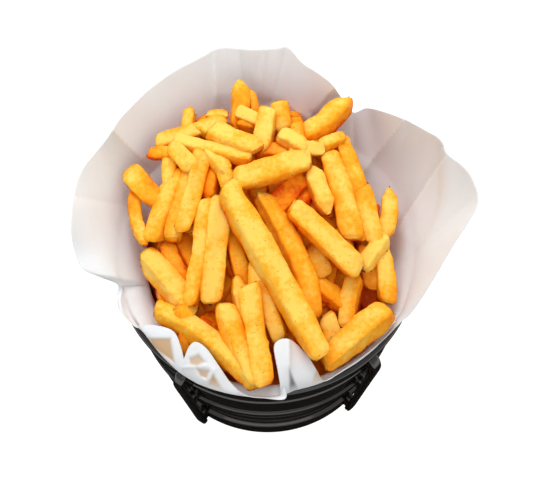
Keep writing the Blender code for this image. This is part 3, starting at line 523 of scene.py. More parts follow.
def put_mesh(name, points, quads, triangles, material, marks=None):
    """A smooth mesh object from arrays, which rides on the body. Marks are one number a point."""
    corners = np.concatenate((quads.ravel(), triangles.ravel()))
    starts = np.concatenate((4 * np.arange(len(quads)), quads.size + 3 * np.arange(len(triangles))))
    mesh = bpy.data.meshes.new(name)
    mesh.vertices.add(len(points))
    mesh.vertices.foreach_set("co", np.asarray(points, np.float32).ravel())
    mesh.loops.add(len(corners))
    mesh.loops.foreach_set("vertex_index", corners.astype(np.int32))
    mesh.polygons.add(len(starts))
    mesh.polygons.foreach_set("loop_start", starts.astype(np.int32))
    mesh.update(calc_edges=True)
    for label, values in (marks or {}).items():
        layer = mesh.attributes.new(label, "FLOAT", "POINT")
        layer.data.foreach_set("value", np.asarray(values, np.float32))
    mesh.shade_smooth()
    mesh.materials.append(material)
    thing = bpy.data.objects.new(name, mesh)
    bpy.context.scene.collection.objects.link(thing)
    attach(thing, BODY)
    return thing


class Shells:
    """Collects closed shells into one mesh's arrays."""

    def __init__(self):
        self.points, self.quads, self.triangles, self.marks, self.count = [], [], [], {}, 0

    def add(self, points, faces, **marks):
        """Adds one shell; its faces count from 0."""
        self.points.append(points)
        self.quads.append(faces[0] + self.count)
        self.triangles.append(faces[1] + self.count)
        for label, values in marks.items():
            self.marks.setdefault(label, []).append(np.broadcast_to(values, len(points)))
        self.count += len(points)

    def add_fry(self, line, *form):
        """Adds a fry, unless it found no room and has no line."""
        if line is not None:
            points, faces, crust, browned = fry_surface(line, *form)
            self.add(points, faces, tone=crust, browned=browned)

    def put(self, name, material, slot):
        """Makes the mesh object."""
        marks = {label: np.concatenate(values) for label, values in self.marks.items()}
        return put_mesh(name, np.concatenate(self.points), np.concatenate(self.quads),
                        np.concatenate(self.triangles), material, marks)


def rounded_outline(points, step, soften):
    """An outline resampled evenly and averaged over a short length, which rounds every corner alike."""
    p = np.asarray(points, float)
    length = np.append(0, np.cumsum(np.linalg.norm(np.diff(p, axis=0), axis=1)))
    at = np.arange(0, length[-1], step)
    even = np.stack([np.interp(at, length, p[:, k]) for k in (0, 1)], 1)
    reach = max(1, int(soften / step))
    kernel = np.hanning(2 * reach + 3)[1:-1]
    kernel /= kernel.sum()
    padded = np.vstack((np.repeat(even[:1], reach, 0), even, np.repeat(even[-1:], reach, 0)))
    return np.stack([np.convolve(padded[:, k], kernel, "valid") for k in (0, 1)], 1)


def basket_profile():
    """The turned wall's outline: from the floor's middle up the inside, over the rim and down the rings."""
    corner = FLOOR + INNER_CORNER
    inside = [(0.0, FLOOR), (FLAT_SHARE * BASE_RADIUS, FLOOR),
              (wall_radius(FLOOR) - WALL - INNER_CORNER, FLOOR)]
    inside += [(wall_radius(height) - WALL, height) for height in (corner, 0.03)]
    crest = HEIGHT - RIM_ROUND
    rim = [(wall_radius(HEIGHT) - WALL, crest)]
    for turn in np.radians(np.arange(180, -1, -15)):
        rim.append((RIM_RADIUS - WALL / 2 * (1 - math.cos(turn)), crest + RIM_ROUND * math.sin(turn)))
    outside = [(wall_radius(height) + stand, height) for height, stand in WALL_STEPS]
    outside += [(BASE_RADIUS - 0.0002, 0.0004), (BASE_RADIUS - 0.0014, 0.0)]
    fine = rounded_outline(rim[-1:] + outside, OUTLINE_STEP, OUTLINE_SOFT)
    return np.vstack((inside, rim, fine[2:], [(FLAT_SHARE * BASE_RADIUS, 0.0), (0.0, 0.0)]))


def turned_shell(profile, columns):
    """A turned solid: the outline carried round the axis, with a pole at each end."""
    ring = profile[1:-1]
    points = ring[:, None, :1] * outwards(ring_turns(columns)) + ring[:, None, 1:] * UP
    ends = [(0, 0, profile[0][1]), (0, 0, profile[-1][1])]
    return np.vstack((ends[:1], points.reshape(-1, 3), ends[1:])), tube_faces(len(ring), columns)


def swept_bar(path, half_wide, half_deep, across, columns=20, power=4.0, ends=0.0006):
    """A bar whose section is a rounded rectangle, a superellipse carried along a path, with rounded ends."""
    path = np.asarray(path, float)
    along = unit(np.gradient(path, axis=0))
    across = np.broadcast_to(np.asarray(across, float), path.shape)
    out = np.cross(along, across)
    turn = ring_turns(columns)
    round_off = superellipse(turn, power)
    section = across[:, None] * (np.cos(turn) * round_off * half_wide)[None, :, None]
    section = section + out[:, None] * (np.sin(turn) * round_off * half_deep)[None, :, None]
    shrink = 1 - ends / max(half_wide, half_deep) * 1.2
    first = path[0] - along[0] * ends + section[0] * shrink
    last = path[-1] + along[-1] * ends + section[-1] * shrink
    rows = np.concatenate((first[None], path[:, None] + section, last[None]))
    points = np.vstack((first.mean(0), rows.reshape(-1, 3), last.mean(0)))
    return points, tube_faces(len(rows), columns)


def lug_shells(angle):
    """The shells of one lug: an upright bar with a sloping shoulder, and its bridges to the wall."""
    out = outwards(math.radians(angle))
    across = np.cross(UP, out)

    def beside(height, stand):
        """A point on the lug's side of the wall, so far from it."""
        return out * (wall_radius(height) + stand) + UP * height

    path = smooth_through([beside(height, reach - LUG_BAR / 2) for height, reach in LUG_EDGE], 6)
    shells = [swept_bar(path, LUG_WIDTH / 2, LUG_BAR / 2, across)]
    for low, high in LUG_BRIDGES:
        stands = np.linspace(-LUG_ROOT, LUG_REACH - LUG_BAR * 0.7, 6)
        line = [beside((low + high) / 2, stand) for stand in stands]
        shells.append(swept_bar(line, LUG_WIDTH / 2 - 0.0002, (high - low) / 2, across))
    return shells


def steady_angles(angles, least=0.4):
    """Angles made to fall steadily all the way round, by averaging a forward and a backward pass."""
    count = len(angles)
    turns = np.unwrap(angles)
    step = math.radians(least)
    ahead, back = turns.copy(), turns.copy()
    for i in range(1, count):
        ahead[i] = min(turns[i], ahead[i - 1] - step)
        back[count - 1 - i] = max(turns[count - 1 - i], back[count - i] + step)
    return 0.5 * (ahead + back)


def fold_push(row, share):
    """How far the folds move a row of the flare towards the viewer: a sum of bell curves round the basket."""
    angle = np.degrees(np.arctan2(row[:, 1], row[:, 0]))
    push = np.zeros(len(row))
    for fold in FOLDS:
        ends = read_points((fold.inner, fold.outer), FOLD_HEIGHTS)
        ends = np.degrees(np.arctan2(ends[:, 1], ends[:, 0]))
        away = half_turn(angle - ends[0] - half_turn(ends[1] - ends[0]) * share)
        push += fold.height * MM * bell(away, np.where(away > 0, fold.left, fold.right))
    return unit(VIEW_EYE - row) * (push * share ** FOLD_GROWTH)[:, None]


def ease_at(turn):
    """How much the sheet cuts across above the rim in each direction."""
    return np.interp(half_turn(np.degrees(turn)), *zip(*EASES))


def eased_back(height, turn):
    """How far the easing moves the sheet in at a height inside the basket: a smooth step up to the rim."""
    share = np.clip((height - EASE_FROM) / (RIM_INNER - EASE_FROM), 0, 1)
    return ease_at(turn) * EASE_IN[0] * smooth_step(share)


def paper_rows(samples, inside_heights, bends, shares, easing=1.0):
    """The sheet's middle layer as rows of points: up the inside, over the rim, out to the free edge.

    The way over the rim is a smooth curve through three rows, cut into bends. Each column leaves
    the rim upwards and bends to its point of the edge along a quadratic curve. Folds then push the
    sheet towards the viewer, more the further out it is. With easing the sheet cuts across above
    the rim, as its table says.
    """
    spots = np.array([(x, y) for _, x, y, _ in EDGE])
    edge = read_points(spots, HEIGHT + MM * np.array([rise for *_, rise in EDGE]))
    turns = steady_angles(np.arctan2(edge[:, 1], edge[:, 0]))
    turns = np.append(turns, turns[0] - 2 * math.pi)
    edge = smooth_through(edge, samples, closed=True)
    turn = np.interp(np.arange(len(edge)) / samples, np.arange(len(turns)), turns)
    around = outwards(turn)
    floor_radius = paper_radius(PAPER_FLOOR + PAPER_CORNER) - PAPER_CORNER
    rows = [around * floor_radius + UP * PAPER_FLOOR]
    ease = easing * ease_at(turn)[:, None]
    for height in inside_heights:
        radius = lining_radius(height, turn) - easing * eased_back(height, turn)
        rows.append(around * radius[:, None] + UP * height)
    leave_radius = MM * np.interp(half_turn(np.degrees(turn)), *zip(*OVER_RIM))
    radii = (lining_radius(RIM_INNER, turn), RIM_CREST[0], leave_radius)
    heights = (RIM_INNER, RIM_CREST[1], RIM_LEAVE)
    room = EASE_ROOM * (edge[:, 2:] - RIM_LEAVE)
    crossing = [around * (np.reshape(radius, (-1, 1)) - ease * back)
                + UP * (height + np.minimum(ease * rise, room * rise / EASE_UP[2]))
                for radius, height, back, rise in zip(radii, heights, EASE_IN, EASE_UP)]
    leave = crossing[2]
    rows.extend(smooth_through(np.stack(crossing).reshape(3, -1), bends).reshape(-1, len(turn), 3))
    reach = np.linalg.norm(edge - leave, axis=1)[:, None]
    bend = leave + (UP * FLARE_BEND + around * ease * EASE_LEAN) * reach
    for t in shares:
        row = (1 - t) ** 2 * leave + 2 * t * (1 - t) * bend + t * t * edge
        rows.append(row + fold_push(row, t))
    return np.stack(rows)


def seen_at(points):
    """Where points in space appear in the view that places were read from."""
    away = points - VIEW_EYE
    depth = away @ VIEW_FORWARD
    right, low = VIEW_FOCAL * away[..., 0] / depth, -VIEW_FOCAL * (away @ VIEW_UP) / depth
    cos, sin = math.cos(VIEW_ROLL), math.sin(VIEW_ROLL)
    across, down = cos * right - sin * low, sin * right + cos * low
    return np.stack((VIEW_SIZE[0] / 2 + across, VIEW_SIZE[1] / 2 + down), -1)


def crumple(rows):
    """The sheet with its creases and hollows, and for each point its painted marks: a white line along a
    crease's ridge, partly whitened fibre and partly painted highlight, painted shade on a crease's steep
    side, and painted warm shade and painted deep shade in the hollows.

    A crease falls off exponentially from its line, on each side as wide as its table says, so that
    its ridge is sharp, and it fades out at both ends. A hollow is as deep as the distance to the
    nearest of its sides allows, smoothed at its edge. Both begin above the rim.
    """
    spots = seen_at(rows)
    push, creased, grease, shade = np.zeros((4, *rows.shape[:2]))
    for crease in CREASES:
        along = np.subtract(crease.outer, crease.inner)
        length = math.hypot(*along)
        along = along / length
        place = spots - crease.inner
        aside = place @ np.array((along[1], -along[0]))
        share = (place @ along) / length
        share = CREASE_FADE * share
        fade = np.clip(share + CREASE_ENDS[0], 0, 1) * np.clip(CREASE_ENDS[1] - share, 0, 1)
        width = np.where(aside > 0, crease.left, crease.right)
        push += crease.height * MM * fade * np.exp(-np.abs(aside) / width)
        # A narrow white line along each ridge: partly whitened fibre, partly painted highlight
        creased += CREASE_WHITE_AND_HIGHLIGHT * max(crease.height, 0) * fade * bell(aside, CREASE_LINE)
        # Painted shade on the crease's steep side
        steep = width < max(crease.left, crease.right)
        shade += CREASE_DARK * abs(crease.height) * fade * steep * np.exp(-np.abs(aside) / CREASE_SHADE)
    for hollow in HOLLOWS:
        inside = np.full(rows.shape[:2], HOLLOW_EDGE)
        for start, end in zip(hollow.corners, hollow.corners[1:] + hollow.corners[:1]):
            along = np.subtract(end, start) / math.dist(start, end)
            place = spots - start
            inside = np.minimum(inside, place[..., 1] * along[0] - place[..., 0] * along[1])
        near = smooth_step(np.clip(inside / HOLLOW_EDGE + HOLLOW_SPREAD, 0, 1))
        push -= hollow.depth * MM * near
        # Painted warm shade in the hollow, tan as if lit through the fries
        grease += hollow.grease * near
        shade += hollow.shade * near
    above = np.clip((rows[..., 2] - RIM_LEAVE) / CRUMPLE_ONSET, 0, 1)
    marks = {"creased": creased, "grease": grease, "shade": shade}
    marks = {name: np.append(0, np.clip(mark * above, 0, 1)) for name, mark in marks.items()}
    return rows + unit(VIEW_EYE - rows) * (push * above)[..., None], marks


def lie_on_heap(fry, changes=(0.0, 0.0)):
    """A fry's centre line: read on the heap's surface, lifted until it rests on it, and tilted."""
    line = on_heap(fry.path)
    straight = np.linspace(0, 1, len(line))
    chord = line[0, 2] + (line[-1, 2] - line[0, 2]) * straight
    rest = chord + max(0.0, np.max(line[:, 2] - chord))
    change = changes[0] + (changes[1] - changes[0]) * straight
    heights = rest + MM * (fry.lift + change + fry.tilt * (straight - 0.5))
    return read_points(fry.path, heights)


def along_line(curve, length, at):
    """Points of a curve at given distances along it."""
    return np.stack([np.interp(at, length, curve[:, axis]) for axis in range(3)], 1)


def fry_stations(total, thick, rows):
    """Distances along a fry and its scale there: a flat end with a rounded edge, the body, and the same."""
    edge = END_ROUND * thick
    corner = np.radians(END_TURNS)
    at = np.array([0.0, 0.0, *edge * (1 - np.cos(corner))])
    scale = np.array([*END_FLAT, *1 - edge / (SECTION * thick / 2) * (1 - np.sin(corner))])
    body = np.linspace(1.15 * edge, total - 1.15 * edge, rows)
    return (np.concatenate((at, body, total - at[::-1])),
            np.concatenate((scale, np.ones(rows), scale[::-1])))


def fry_section(share, size, ends, columns, draw):
    """A fry's section at each share of its length: its directions, squareness and two coordinates.

    The section is a superellipse, |cos|^p + |sin|^p, whose points crowd at its corners. Its size
    follows the taper, its faces sink a little between the corners, and it twists.
    """
    turn = ring_turns(columns)[None, :] + SECTION_START
    turn = turn + SECTION_CROWD * np.sin(4 * turn)
    power = SECTION_POWER[0] + SECTION_POWER[1] * np.sin(share * draw.uniform(2, 6) + draw.uniform(0, 6))
    square = superellipse(turn, power[:, None])
    square = square * (1 - draw.uniform(*FACE_SINKS) * np.cos(2 * turn) ** 4)
    taper = np.interp(share, TAPER_AT, (ends[0], 1, 1, ends[1]))
    wedge = np.interp(share, WEDGE_AT, (draw.uniform(*WEDGE_ENDS), 1, 1, draw.uniform(*WEDGE_ENDS)))
    size = (size * taper)[:, None] * square
    across = np.cos(turn) * size * draw.uniform(*WIDTHS)
    up = np.sin(turn) * size * draw.uniform(*DEPTHS) * wedge[:, None]
    twist = math.radians(draw.uniform(-TURN, TURN))
    twist = twist + math.radians(draw.uniform(-TWIST, TWIST)) * (share - 0.5)
    cos, sin = np.cos(twist)[:, None], np.sin(twist)[:, None]
    return turn, square, across * cos - up * sin, across * sin + up * cos


def fry_surface(line, thick, ends, tone, seed, grid):
    """One fry: a rounded square section carried along a line, with cut ends, twist and unevenness.

    Soft noise in two sizes and small blisters move the surface in and out. Each end is cut flat, a little
    slanted, with a rounded edge. One side is fried more than the others. The top is made paler, which is
    painted light, and the crust below the heap's surface darker, which is painted shade. Returns the points,
    the faces, and for each point its tone, painted light and shade included, and how browned it is.
    """
    rows, columns = grid
    draw = np.random.default_rng(seed)
    curve = smooth_through(line, 16)
    length = np.append(0, np.cumsum(np.linalg.norm(np.diff(curve, axis=0), axis=1)))
    total = length[-1]
    bow = np.sin(math.pi * length / total)[:, None] * draw.uniform(-BOW, BOW) * total
    curve = curve + bow * np.cross(curve[-1] - curve[0], UP) / total
    at, scale = fry_stations(total, thick, rows)
    ahead, behind = (along_line(curve, length, at + step) for step in (LOOK_AHEAD, -LOOK_AHEAD))
    along, side, top = frame_along(ahead - behind)
    turn, square, across, up = fry_section(at / total, SECTION * thick / 2 * scale, ends, columns, draw)
    offset = side[:, None] * across[..., None] + top[:, None] * up[..., None]
    slant = draw.uniform(-SLANT, SLANT, (2, 2))
    lean = sum(np.exp(-distance / (SLANT_REACH * thick))[:, None] * (a * across + b * up)
               for distance, (a, b) in zip((at, total - at), slant))
    surface = along_line(curve, length, at)[:, None] + offset + along[:, None] * lean[..., None]
    points = surface.reshape(-1, 3)
    outward = (offset / (np.linalg.norm(offset, axis=-1, keepdims=True) + 1e-9)).reshape(-1, 3)
    lumps = thick * sum(part * soft_noise(points, size, seed + k) for k, (part, size) in enumerate(LUMPS))
    blisters = np.clip(soft_noise(points, BLISTERS[0], seed + 2) - BLISTERS[1], 0, 2) * BLISTERS[2]
    points = points + outward * ((lumps + blisters) * np.repeat(scale, columns))[:, None]
    end_share = 1 - np.clip(np.minimum(at, total - at) / (BROWNED_REACH * thick), 0, 1)[:, None]
    browned = np.clip(np.abs(np.sin(2 * turn)) ** 4 * scale[:, None] + 0.5 * end_share ** 2, 0, 1)
    crust = tone + CRUST_BASE + CRUST_SIDE * np.cos(turn - draw.uniform(0, 6.3))
    # Painted light: the upper side of each fry is made paler
    crust = crust - CRUST_TOP_PAINTED_LIGHT * np.sin(turn) * square
    crust = crust + CRUST_NOISE[0] * soft_noise(surface, CRUST_NOISE[1], seed + 3)
    # Painted shade: the crust grows darker the deeper it lies under the heap's smooth surface
    below = heap_height(surface[..., 0], surface[..., 1]) - surface[..., 2]
    crust = crust + FRY_PAINTED_SHADE * np.clip(below / FRY_PAINTED_SHADE_DEPTH, 0, 1)
    points = np.vstack((surface[0].mean(0), points, surface[-1].mean(0)))
    browned = np.concatenate(([FLAT_BROWNED], browned.ravel(), [FLAT_BROWNED]))
    crust = np.concatenate(([tone], crust.ravel(), [tone]))
    return points, tube_faces(len(at), columns), crust, browned


def plain_bar(line, thick):
    """A plain eight-sided bar round a fry's line, as a tree to test what the fry comes near."""
    curve = smooth_through(line, 2)
    along, side, top = frame_along(np.gradient(curve, axis=0))
    curve[0] -= along[0] * CLEARANCE
    curve[-1] += along[-1] * CLEARANCE
    turn = ring_turns(8)
    ring = side[:, None] * np.cos(turn)[None, :, None] + top[:, None] * np.sin(turn)[None, :, None]
    rows = curve[:, None] + ring * (thick / 2 + CLEARANCE)
    points = np.vstack((curve[0], rows.reshape(-1, 3), curve[-1]))
    quads, triangles = tube_faces(len(rows), 8)
    return BVHTree.FromPolygons(points.tolist(), quads.tolist() + triangles.tolist())


def place_fry(fry, guard):
    """The fry's line, its ends raised or lowered along the sight lines until it is clear, or shortened."""
    thick = fry.thick * MM
    changes = [(a, b) for a in END_CHANGES for b in END_CHANGES]
    for change in sorted(changes, key=lambda c: abs(c[0]) + abs(c[1]) + 0.5 * abs(c[0] - c[1])):
        line = lie_on_heap(fry, change)
        if not plain_bar(line, thick).overlap(guard):
            return line
    return shortened(lie_on_heap(fry, (1.0, 1.0)), thick, guard)


def shortened(line, thick, guard):
    """The line shortened and moved towards the basket's middle until the fry is clear, or None."""
    for _ in range(SHORTENINGS):
        middle = line.mean(0)
        line = middle + (line - middle) * SHORTEN - np.array((middle[0], middle[1], 0.0)) * SHIFT_IN
        if not plain_bar(line, thick).overlap(guard):
            return line
    return None


def link(tree, *pairs):
    """Joins sockets, each pair given as (output, input)."""
    for output, entry in pairs:
        tree.links.new(output, entry)


def add_node(tree, kind, **values):
    """A shader node with named attributes or input defaults set."""
    node = tree.nodes.new(kind)
    for key, value in values.items():
        if hasattr(node, key):
            setattr(node, key, value)
        else:
            node.inputs[key.replace("_", " ")].default_value = value
    return node


def colour_ramp(tree, stops):
    """A colour ramp from (place, colour) pairs."""
    ramp = tree.nodes.new("ShaderNodeValToRGB")
    band = ramp.color_ramp
    while len(band.elements) < len(stops):
        band.elements.new(0.5)
    for element, (place, colour) in zip(band.elements, stops):
        element.position = place
        element.color = (*colour, 1.0)
    return ramp


def new_material(name, IOR=1.5, **inputs):
    """A material with a Principled shader whose inputs are given, and an object-space coordinate."""
    material = bpy.data.materials.new(name)
    material.use_nodes = True
    tree = material.node_tree
    shader = tree.nodes["Principled BSDF"]
    for key, value in {"IOR": IOR, **inputs}.items():
        shader.inputs[key.replace("_", " ")].default_value = value
    place = tree.nodes.new("ShaderNodeTexCoord").outputs["Object"]
    return material, tree, shader, place


def grain_group():
    """Node group: two sizes of noise mixed into one mask, for grain and mottling."""
    found = bpy.data.node_groups.get("mottle")
    if found:
        return found
    tree = bpy.data.node_groups.new("mottle", "ShaderNodeTree")
    for label, kind in (("Place", "Vector"), ("Coarse Scale", "Float"), ("Fine Scale", "Float"),
                        ("Fine Share", "Float")):
        tree.interface.new_socket(label, in_out="INPUT", socket_type="NodeSocket" + kind)
    tree.interface.new_socket("Mask", in_out="OUTPUT", socket_type="NodeSocketFloat")
    entry, leave = tree.nodes.new("NodeGroupInput"), tree.nodes.new("NodeGroupOutput")
    mix = tree.nodes.new("ShaderNodeMix")
    for size, detail, side in (("Coarse Scale", 3.0, "A"), ("Fine Scale", 2.0, "B")):
        noise = add_node(tree, "ShaderNodeTexNoise", Detail=detail)
        link(tree, (entry.outputs["Place"], noise.inputs["Vector"]),
             (entry.outputs[size], noise.inputs["Scale"]), (noise.outputs["Fac"], mix.inputs[side]))
    link(tree, (entry.outputs["Fine Share"], mix.inputs["Factor"]),
         (mix.outputs["Result"], leave.inputs["Mask"]))
    return tree


def use_mottle(tree, place, coarse, fine, share):
    """Places the mottle group and returns its mask."""
    node = add_node(tree, "ShaderNodeGroup", node_tree=grain_group(), Coarse_Scale=coarse, Fine_Scale=fine,
                    Fine_Share=share)
    link(tree, (place, node.inputs["Place"]))
    return node.outputs["Mask"]


def add_bump(tree, shader, height, strength, distance):
    """A bump node from a height to the shader's normal."""
    bump = add_node(tree, "ShaderNodeBump", Strength=strength, Distance=distance)
    link(tree, (height, bump.inputs["Height"]), (bump.outputs["Normal"], shader.inputs["Normal"]))


def math_node(tree, operation, a, b):
    """A math node on two sockets or numbers."""
    node = add_node(tree, "ShaderNodeMath", operation=operation)
    for slot, value in zip(node.inputs, (a, b)):
        if isinstance(value, (int, float)):
            slot.default_value = value
        else:
            link(tree, (value, slot))
    return node.outputs[0]


def own_mark(tree, name):
    """A number that each point of the mesh carries."""
    return add_node(tree, "ShaderNodeAttribute", attribute_name=name).outputs["Fac"]


def mix_colour(tree, amount, under, over):
    """A colour laid over the one of a socket by an amount."""
    layer = add_node(tree, "ShaderNodeMix", data_type="RGBA")
    layer.inputs["B"].default_value = (*over, 1.0)
    link(tree, (amount, layer.inputs["Factor"]), (under, layer.inputs["A"]))
    return layer.outputs["Result"]


def vary_roughness(tree, shader, mask, least, most):
    """Makes the shader's roughness follow a mask."""
    rough = add_node(tree, "ShaderNodeMapRange", To_Min=least, To_Max=most)
    link(tree, (mask, rough.inputs["Value"]), (rough.outputs["Result"], shader.inputs["Roughness"]))


def times(colour, factor):
    """A colour made darker or brighter."""
    return tuple(factor * part for part in colour)


def mottled_material(name, mottle, stops, **inputs):
    """A material whose colour follows the mottling over a ramp."""
    material, tree, shader, place = new_material(name, **inputs)
    ramp = colour_ramp(tree, stops)
    link(tree, (use_mottle(tree, place, *mottle), ramp.inputs["Fac"]),
         (ramp.outputs["Color"], shader.inputs["Base Color"]))
    return material


def fry_material(looks):
    """Fried potato: a tone with painted light on the tops and painted shade deep in the heap, golden
    mottling, browned edges and ends, fine specks, a thin oil shine.
    """
    material, tree, shader, place = new_material(
        "fried_potato", Specular_IOR_Level=0.14, IOR=1.40, Subsurface_Weight=0.22,
        Subsurface_Radius=(1.0, 0.45, 0.12), Subsurface_Scale=0.0012)
    mottle = use_mottle(tree, place, 150.0, 620.0, 0.45)
    uneven = math_node(tree, "MULTIPLY", math_node(tree, "SUBTRACT", mottle, 0.5), 1.6)
    fried = math_node(tree, "MULTIPLY", own_mark(tree, "browned"), 0.22)
    toned = math_node(tree, "MULTIPLY", own_mark(tree, "tone"), 0.90)
    amount = math_node(tree, "ADD", math_node(tree, "ADD", toned, uneven), fried)
    ramp = colour_ramp(tree, ((0.0, looks.fry_pale), (0.36, looks.fry_golden), (0.72, looks.fry_deep),
                              (1.0, looks.fry_brown)))
    cells = add_node(tree, "ShaderNodeTexVoronoi", Scale=430.0)
    link(tree, (place, cells.inputs["Vector"]), (amount, ramp.inputs["Fac"]))
    dust = math_node(tree, "MULTIPLY", math_node(tree, "LESS_THAN", cells.outputs["Distance"], 0.085), 0.55)
    link(tree, (mix_colour(tree, dust, ramp.outputs["Color"], looks.seasoning), shader.inputs["Base Color"]))
    vary_roughness(tree, shader, mottle, 0.28, 0.60)
    add_bump(tree, shader, use_mottle(tree, place, 620.0, 1700.0, 0.45), 0.45, 0.0003)
    return material


def core_material(looks):
    """The shaded inside of the heap: deep fried orange, rough."""
    return mottled_material("heap_inside", (160.0, 600.0, 0.3),
                            ((0.3, times(looks.fry_deep, 0.75)), (0.7, looks.fry_brown)),
                            Roughness=0.6, Specular_IOR_Level=0.1)


def herb_material(looks):
    """Dried seasoning: dark brown-green flecks that differ from grain to grain."""
    return mottled_material("dried_seasoning", (900.0, 2500.0, 0.5),
                            ((0.35, looks.seasoning), (0.65, times(looks.seasoning, 2.6))), Roughness=0.7)


def paper_material(looks):
    """Greaseproof paper: off-white, slightly see-through, with faint fibre and soft crinkle, a white line
    along its creases that is partly whitened fibre and partly painted highlight, and painted shade in its
    creases and hollows.
    """
    material, tree, shader, place = new_material(
        "greaseproof_paper", Roughness=0.55, Specular_IOR_Level=0.3, Subsurface_Weight=0.35,
        Subsurface_Radius=(1.0, 0.9, 0.8), Subsurface_Scale=0.0012)
    tint = colour_ramp(tree, ((0.3, times(looks.paper, 0.97)), (0.7, looks.paper)))
    link(tree, (use_mottle(tree, place, 60.0, 900.0, 0.5), tint.inputs["Fac"]))
    colour = tint.outputs["Color"]
    # Painted marks: the crease line, partly painted highlight, then painted warm shade and painted deep shade
    for mark, over in (("creased", looks.paper_crease_white_and_highlight), ("grease", looks.grease),
                       ("shade", looks.paper_shade)):
        colour = mix_colour(tree, own_mark(tree, mark), colour, over)
    link(tree, (colour, shader.inputs["Base Color"]))
    add_bump(tree, shader, use_mottle(tree, place, 90.0, 420.0, 0.35), 0.25, 0.0006)
    return material


def plastic_material(looks):
    """Moulded black plastic: glossy, with a faint grain and patches of duller wear."""
    material, tree, shader, place = new_material("basket_plastic", Base_Color=(*looks.plastic, 1.0))
    wear = use_mottle(tree, place, 45.0, 800.0, 0.35)
    vary_roughness(tree, shader, wear, 0.06, 0.18)
    add_bump(tree, shader, wear, 0.10, 0.0003)
    return material


def colour_setting(label, text, *default):
    """A colour that a user can change."""
    return FloatVectorProperty(name=label, description=text, subtype="COLOR", size=3, default=default)


class FriesLooks(bpy.types.PropertyGroup):
    """Sizes and colours that a user would change."""

    fry_pale: colour_setting("Fry, pale", "Colour of the palest potato", 0.97, 0.61, 0.11)
    fry_golden: colour_setting("Fry, golden", "Colour of most of the crust", 0.95, 0.415, 0.018)
    fry_deep: colour_setting("Fry, deep", "Colour of well fried crust", 0.94, 0.27, 0.003)
    fry_brown: colour_setting("Fry, brown", "Colour of browned edges", 0.72, 0.08, 0.001)
    paper: colour_setting("Paper", "Colour of the paper", 0.85, 0.885, 0.90)
    # The crease line's colour: partly whitened fibre, partly painted highlight
    paper_crease_white_and_highlight: colour_setting("Paper crease", "Colour of the paper along its creases", 0.95, 0.94, 0.93)
    paper_shade: colour_setting("Paper shade", "Colour of the paper in deep shade", 0.085, 0.070, 0.060)
    # Painted warm shade: the tan laid into the paper's hollows
    grease: colour_setting("Grease", "Colour of the paper where it is greasy", 0.60, 0.38, 0.20)
    plastic: colour_setting("Plastic", "Colour of the basket", 0.0085, 0.0052, 0.0036)
    floor: colour_setting("Floor", "Colour of the floor", 0.40, 0.40, 0.40)
    seasoning: colour_setting("Seasoning", "Colour of the seasoning flecks", 0.045, 0.018, 0.004)
    basket_columns: IntProperty(name="Basket columns", description="Columns round the basket",
                                default=192, min=24)
    sheet: FloatProperty(name="Paper thickness", description="Thickness of the paper",
                         subtype="DISTANCE", unit="LENGTH", default=0.00025)
    fillers: IntProperty(name="Hidden fries", description="Fries that fill in under the ones that show",
                         default=116, min=0)
    flecks: IntProperty(name="Flecks", description="Seasoning flecks on the fries", default=420, min=0)
    seed: IntProperty(name="Seed", description="Seed of every random draw", default=7)


class FRIES_OT_basket(bpy.types.Operator):
    """Makes the moulded basket with its rim, rings and lugs"""

    bl_idname = "fries.basket"
    bl_label = "Basket"

    def execute(self, context):
        looks = context.scene.fries_looks
        shells = Shells()
        shells.add(*turned_shell(basket_profile(), looks.basket_columns))
        for angle in LUG_ANGLES:
            for points, faces in lug_shells(angle):
                shells.add(points, faces)
        piece = shells.put("basket_moulding", plastic_material(looks), "basket_plastic")
        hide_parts("basket")
        return {"FINISHED"}


def sheet_quads(rows, columns):
    """Quads of a sheet that closes on itself round its columns."""
    i = np.arange(columns)
    j = (i + 1) % columns
    low = columns * np.arange(rows - 1)[:, None]
    return np.stack((low + i, low + columns + i, low + columns + j, low + j), -1).reshape(-1, 4)


class FRIES_OT_paper(bpy.types.Operator):
    """Makes the paper lining as one thin creased sheet"""

    bl_idname = "fries.paper"
    bl_label = "Paper"

    def execute(self, context):
        looks = context.scene.fries_looks
        inside, bends, flare = SHEET_ROWS
        heights = np.linspace(SHEET_LOWEST, RIM_INNER, inside + 1)[:-1]
        rows, marks = crumple(paper_rows(SHEET_COLUMNS, heights, bends, np.linspace(0, 1, flare + 1)[1:]))
        count = rows.shape[1]
        i = np.arange(count)
        middle = np.stack((np.zeros_like(i), 1 + i, 1 + (i + 1) % count), 1)
        points = np.vstack(((0, 0, PAPER_FLOOR), rows.reshape(-1, 3)))
        piece = put_mesh("paper_lining", points, 1 + sheet_quads(len(rows), count), middle,
                         paper_material(looks), marks)
        wall = piece.modifiers.new("thickness", "SOLIDIFY")
        wall.thickness = looks.sheet
        wall.offset = 0.0
        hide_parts("paper")
        return {"FINISHED"}


def paper_guard():
    """The paper's surface as a tree that fries are tested against."""
    rows = paper_rows(2, GUARD_HEIGHTS, 1, GUARD_SHARES, easing=0.0)
    quads = sheet_quads(len(rows), rows.shape[1])
    return BVHTree.FromPolygons(rows.reshape(-1, 3).tolist(), quads.tolist())


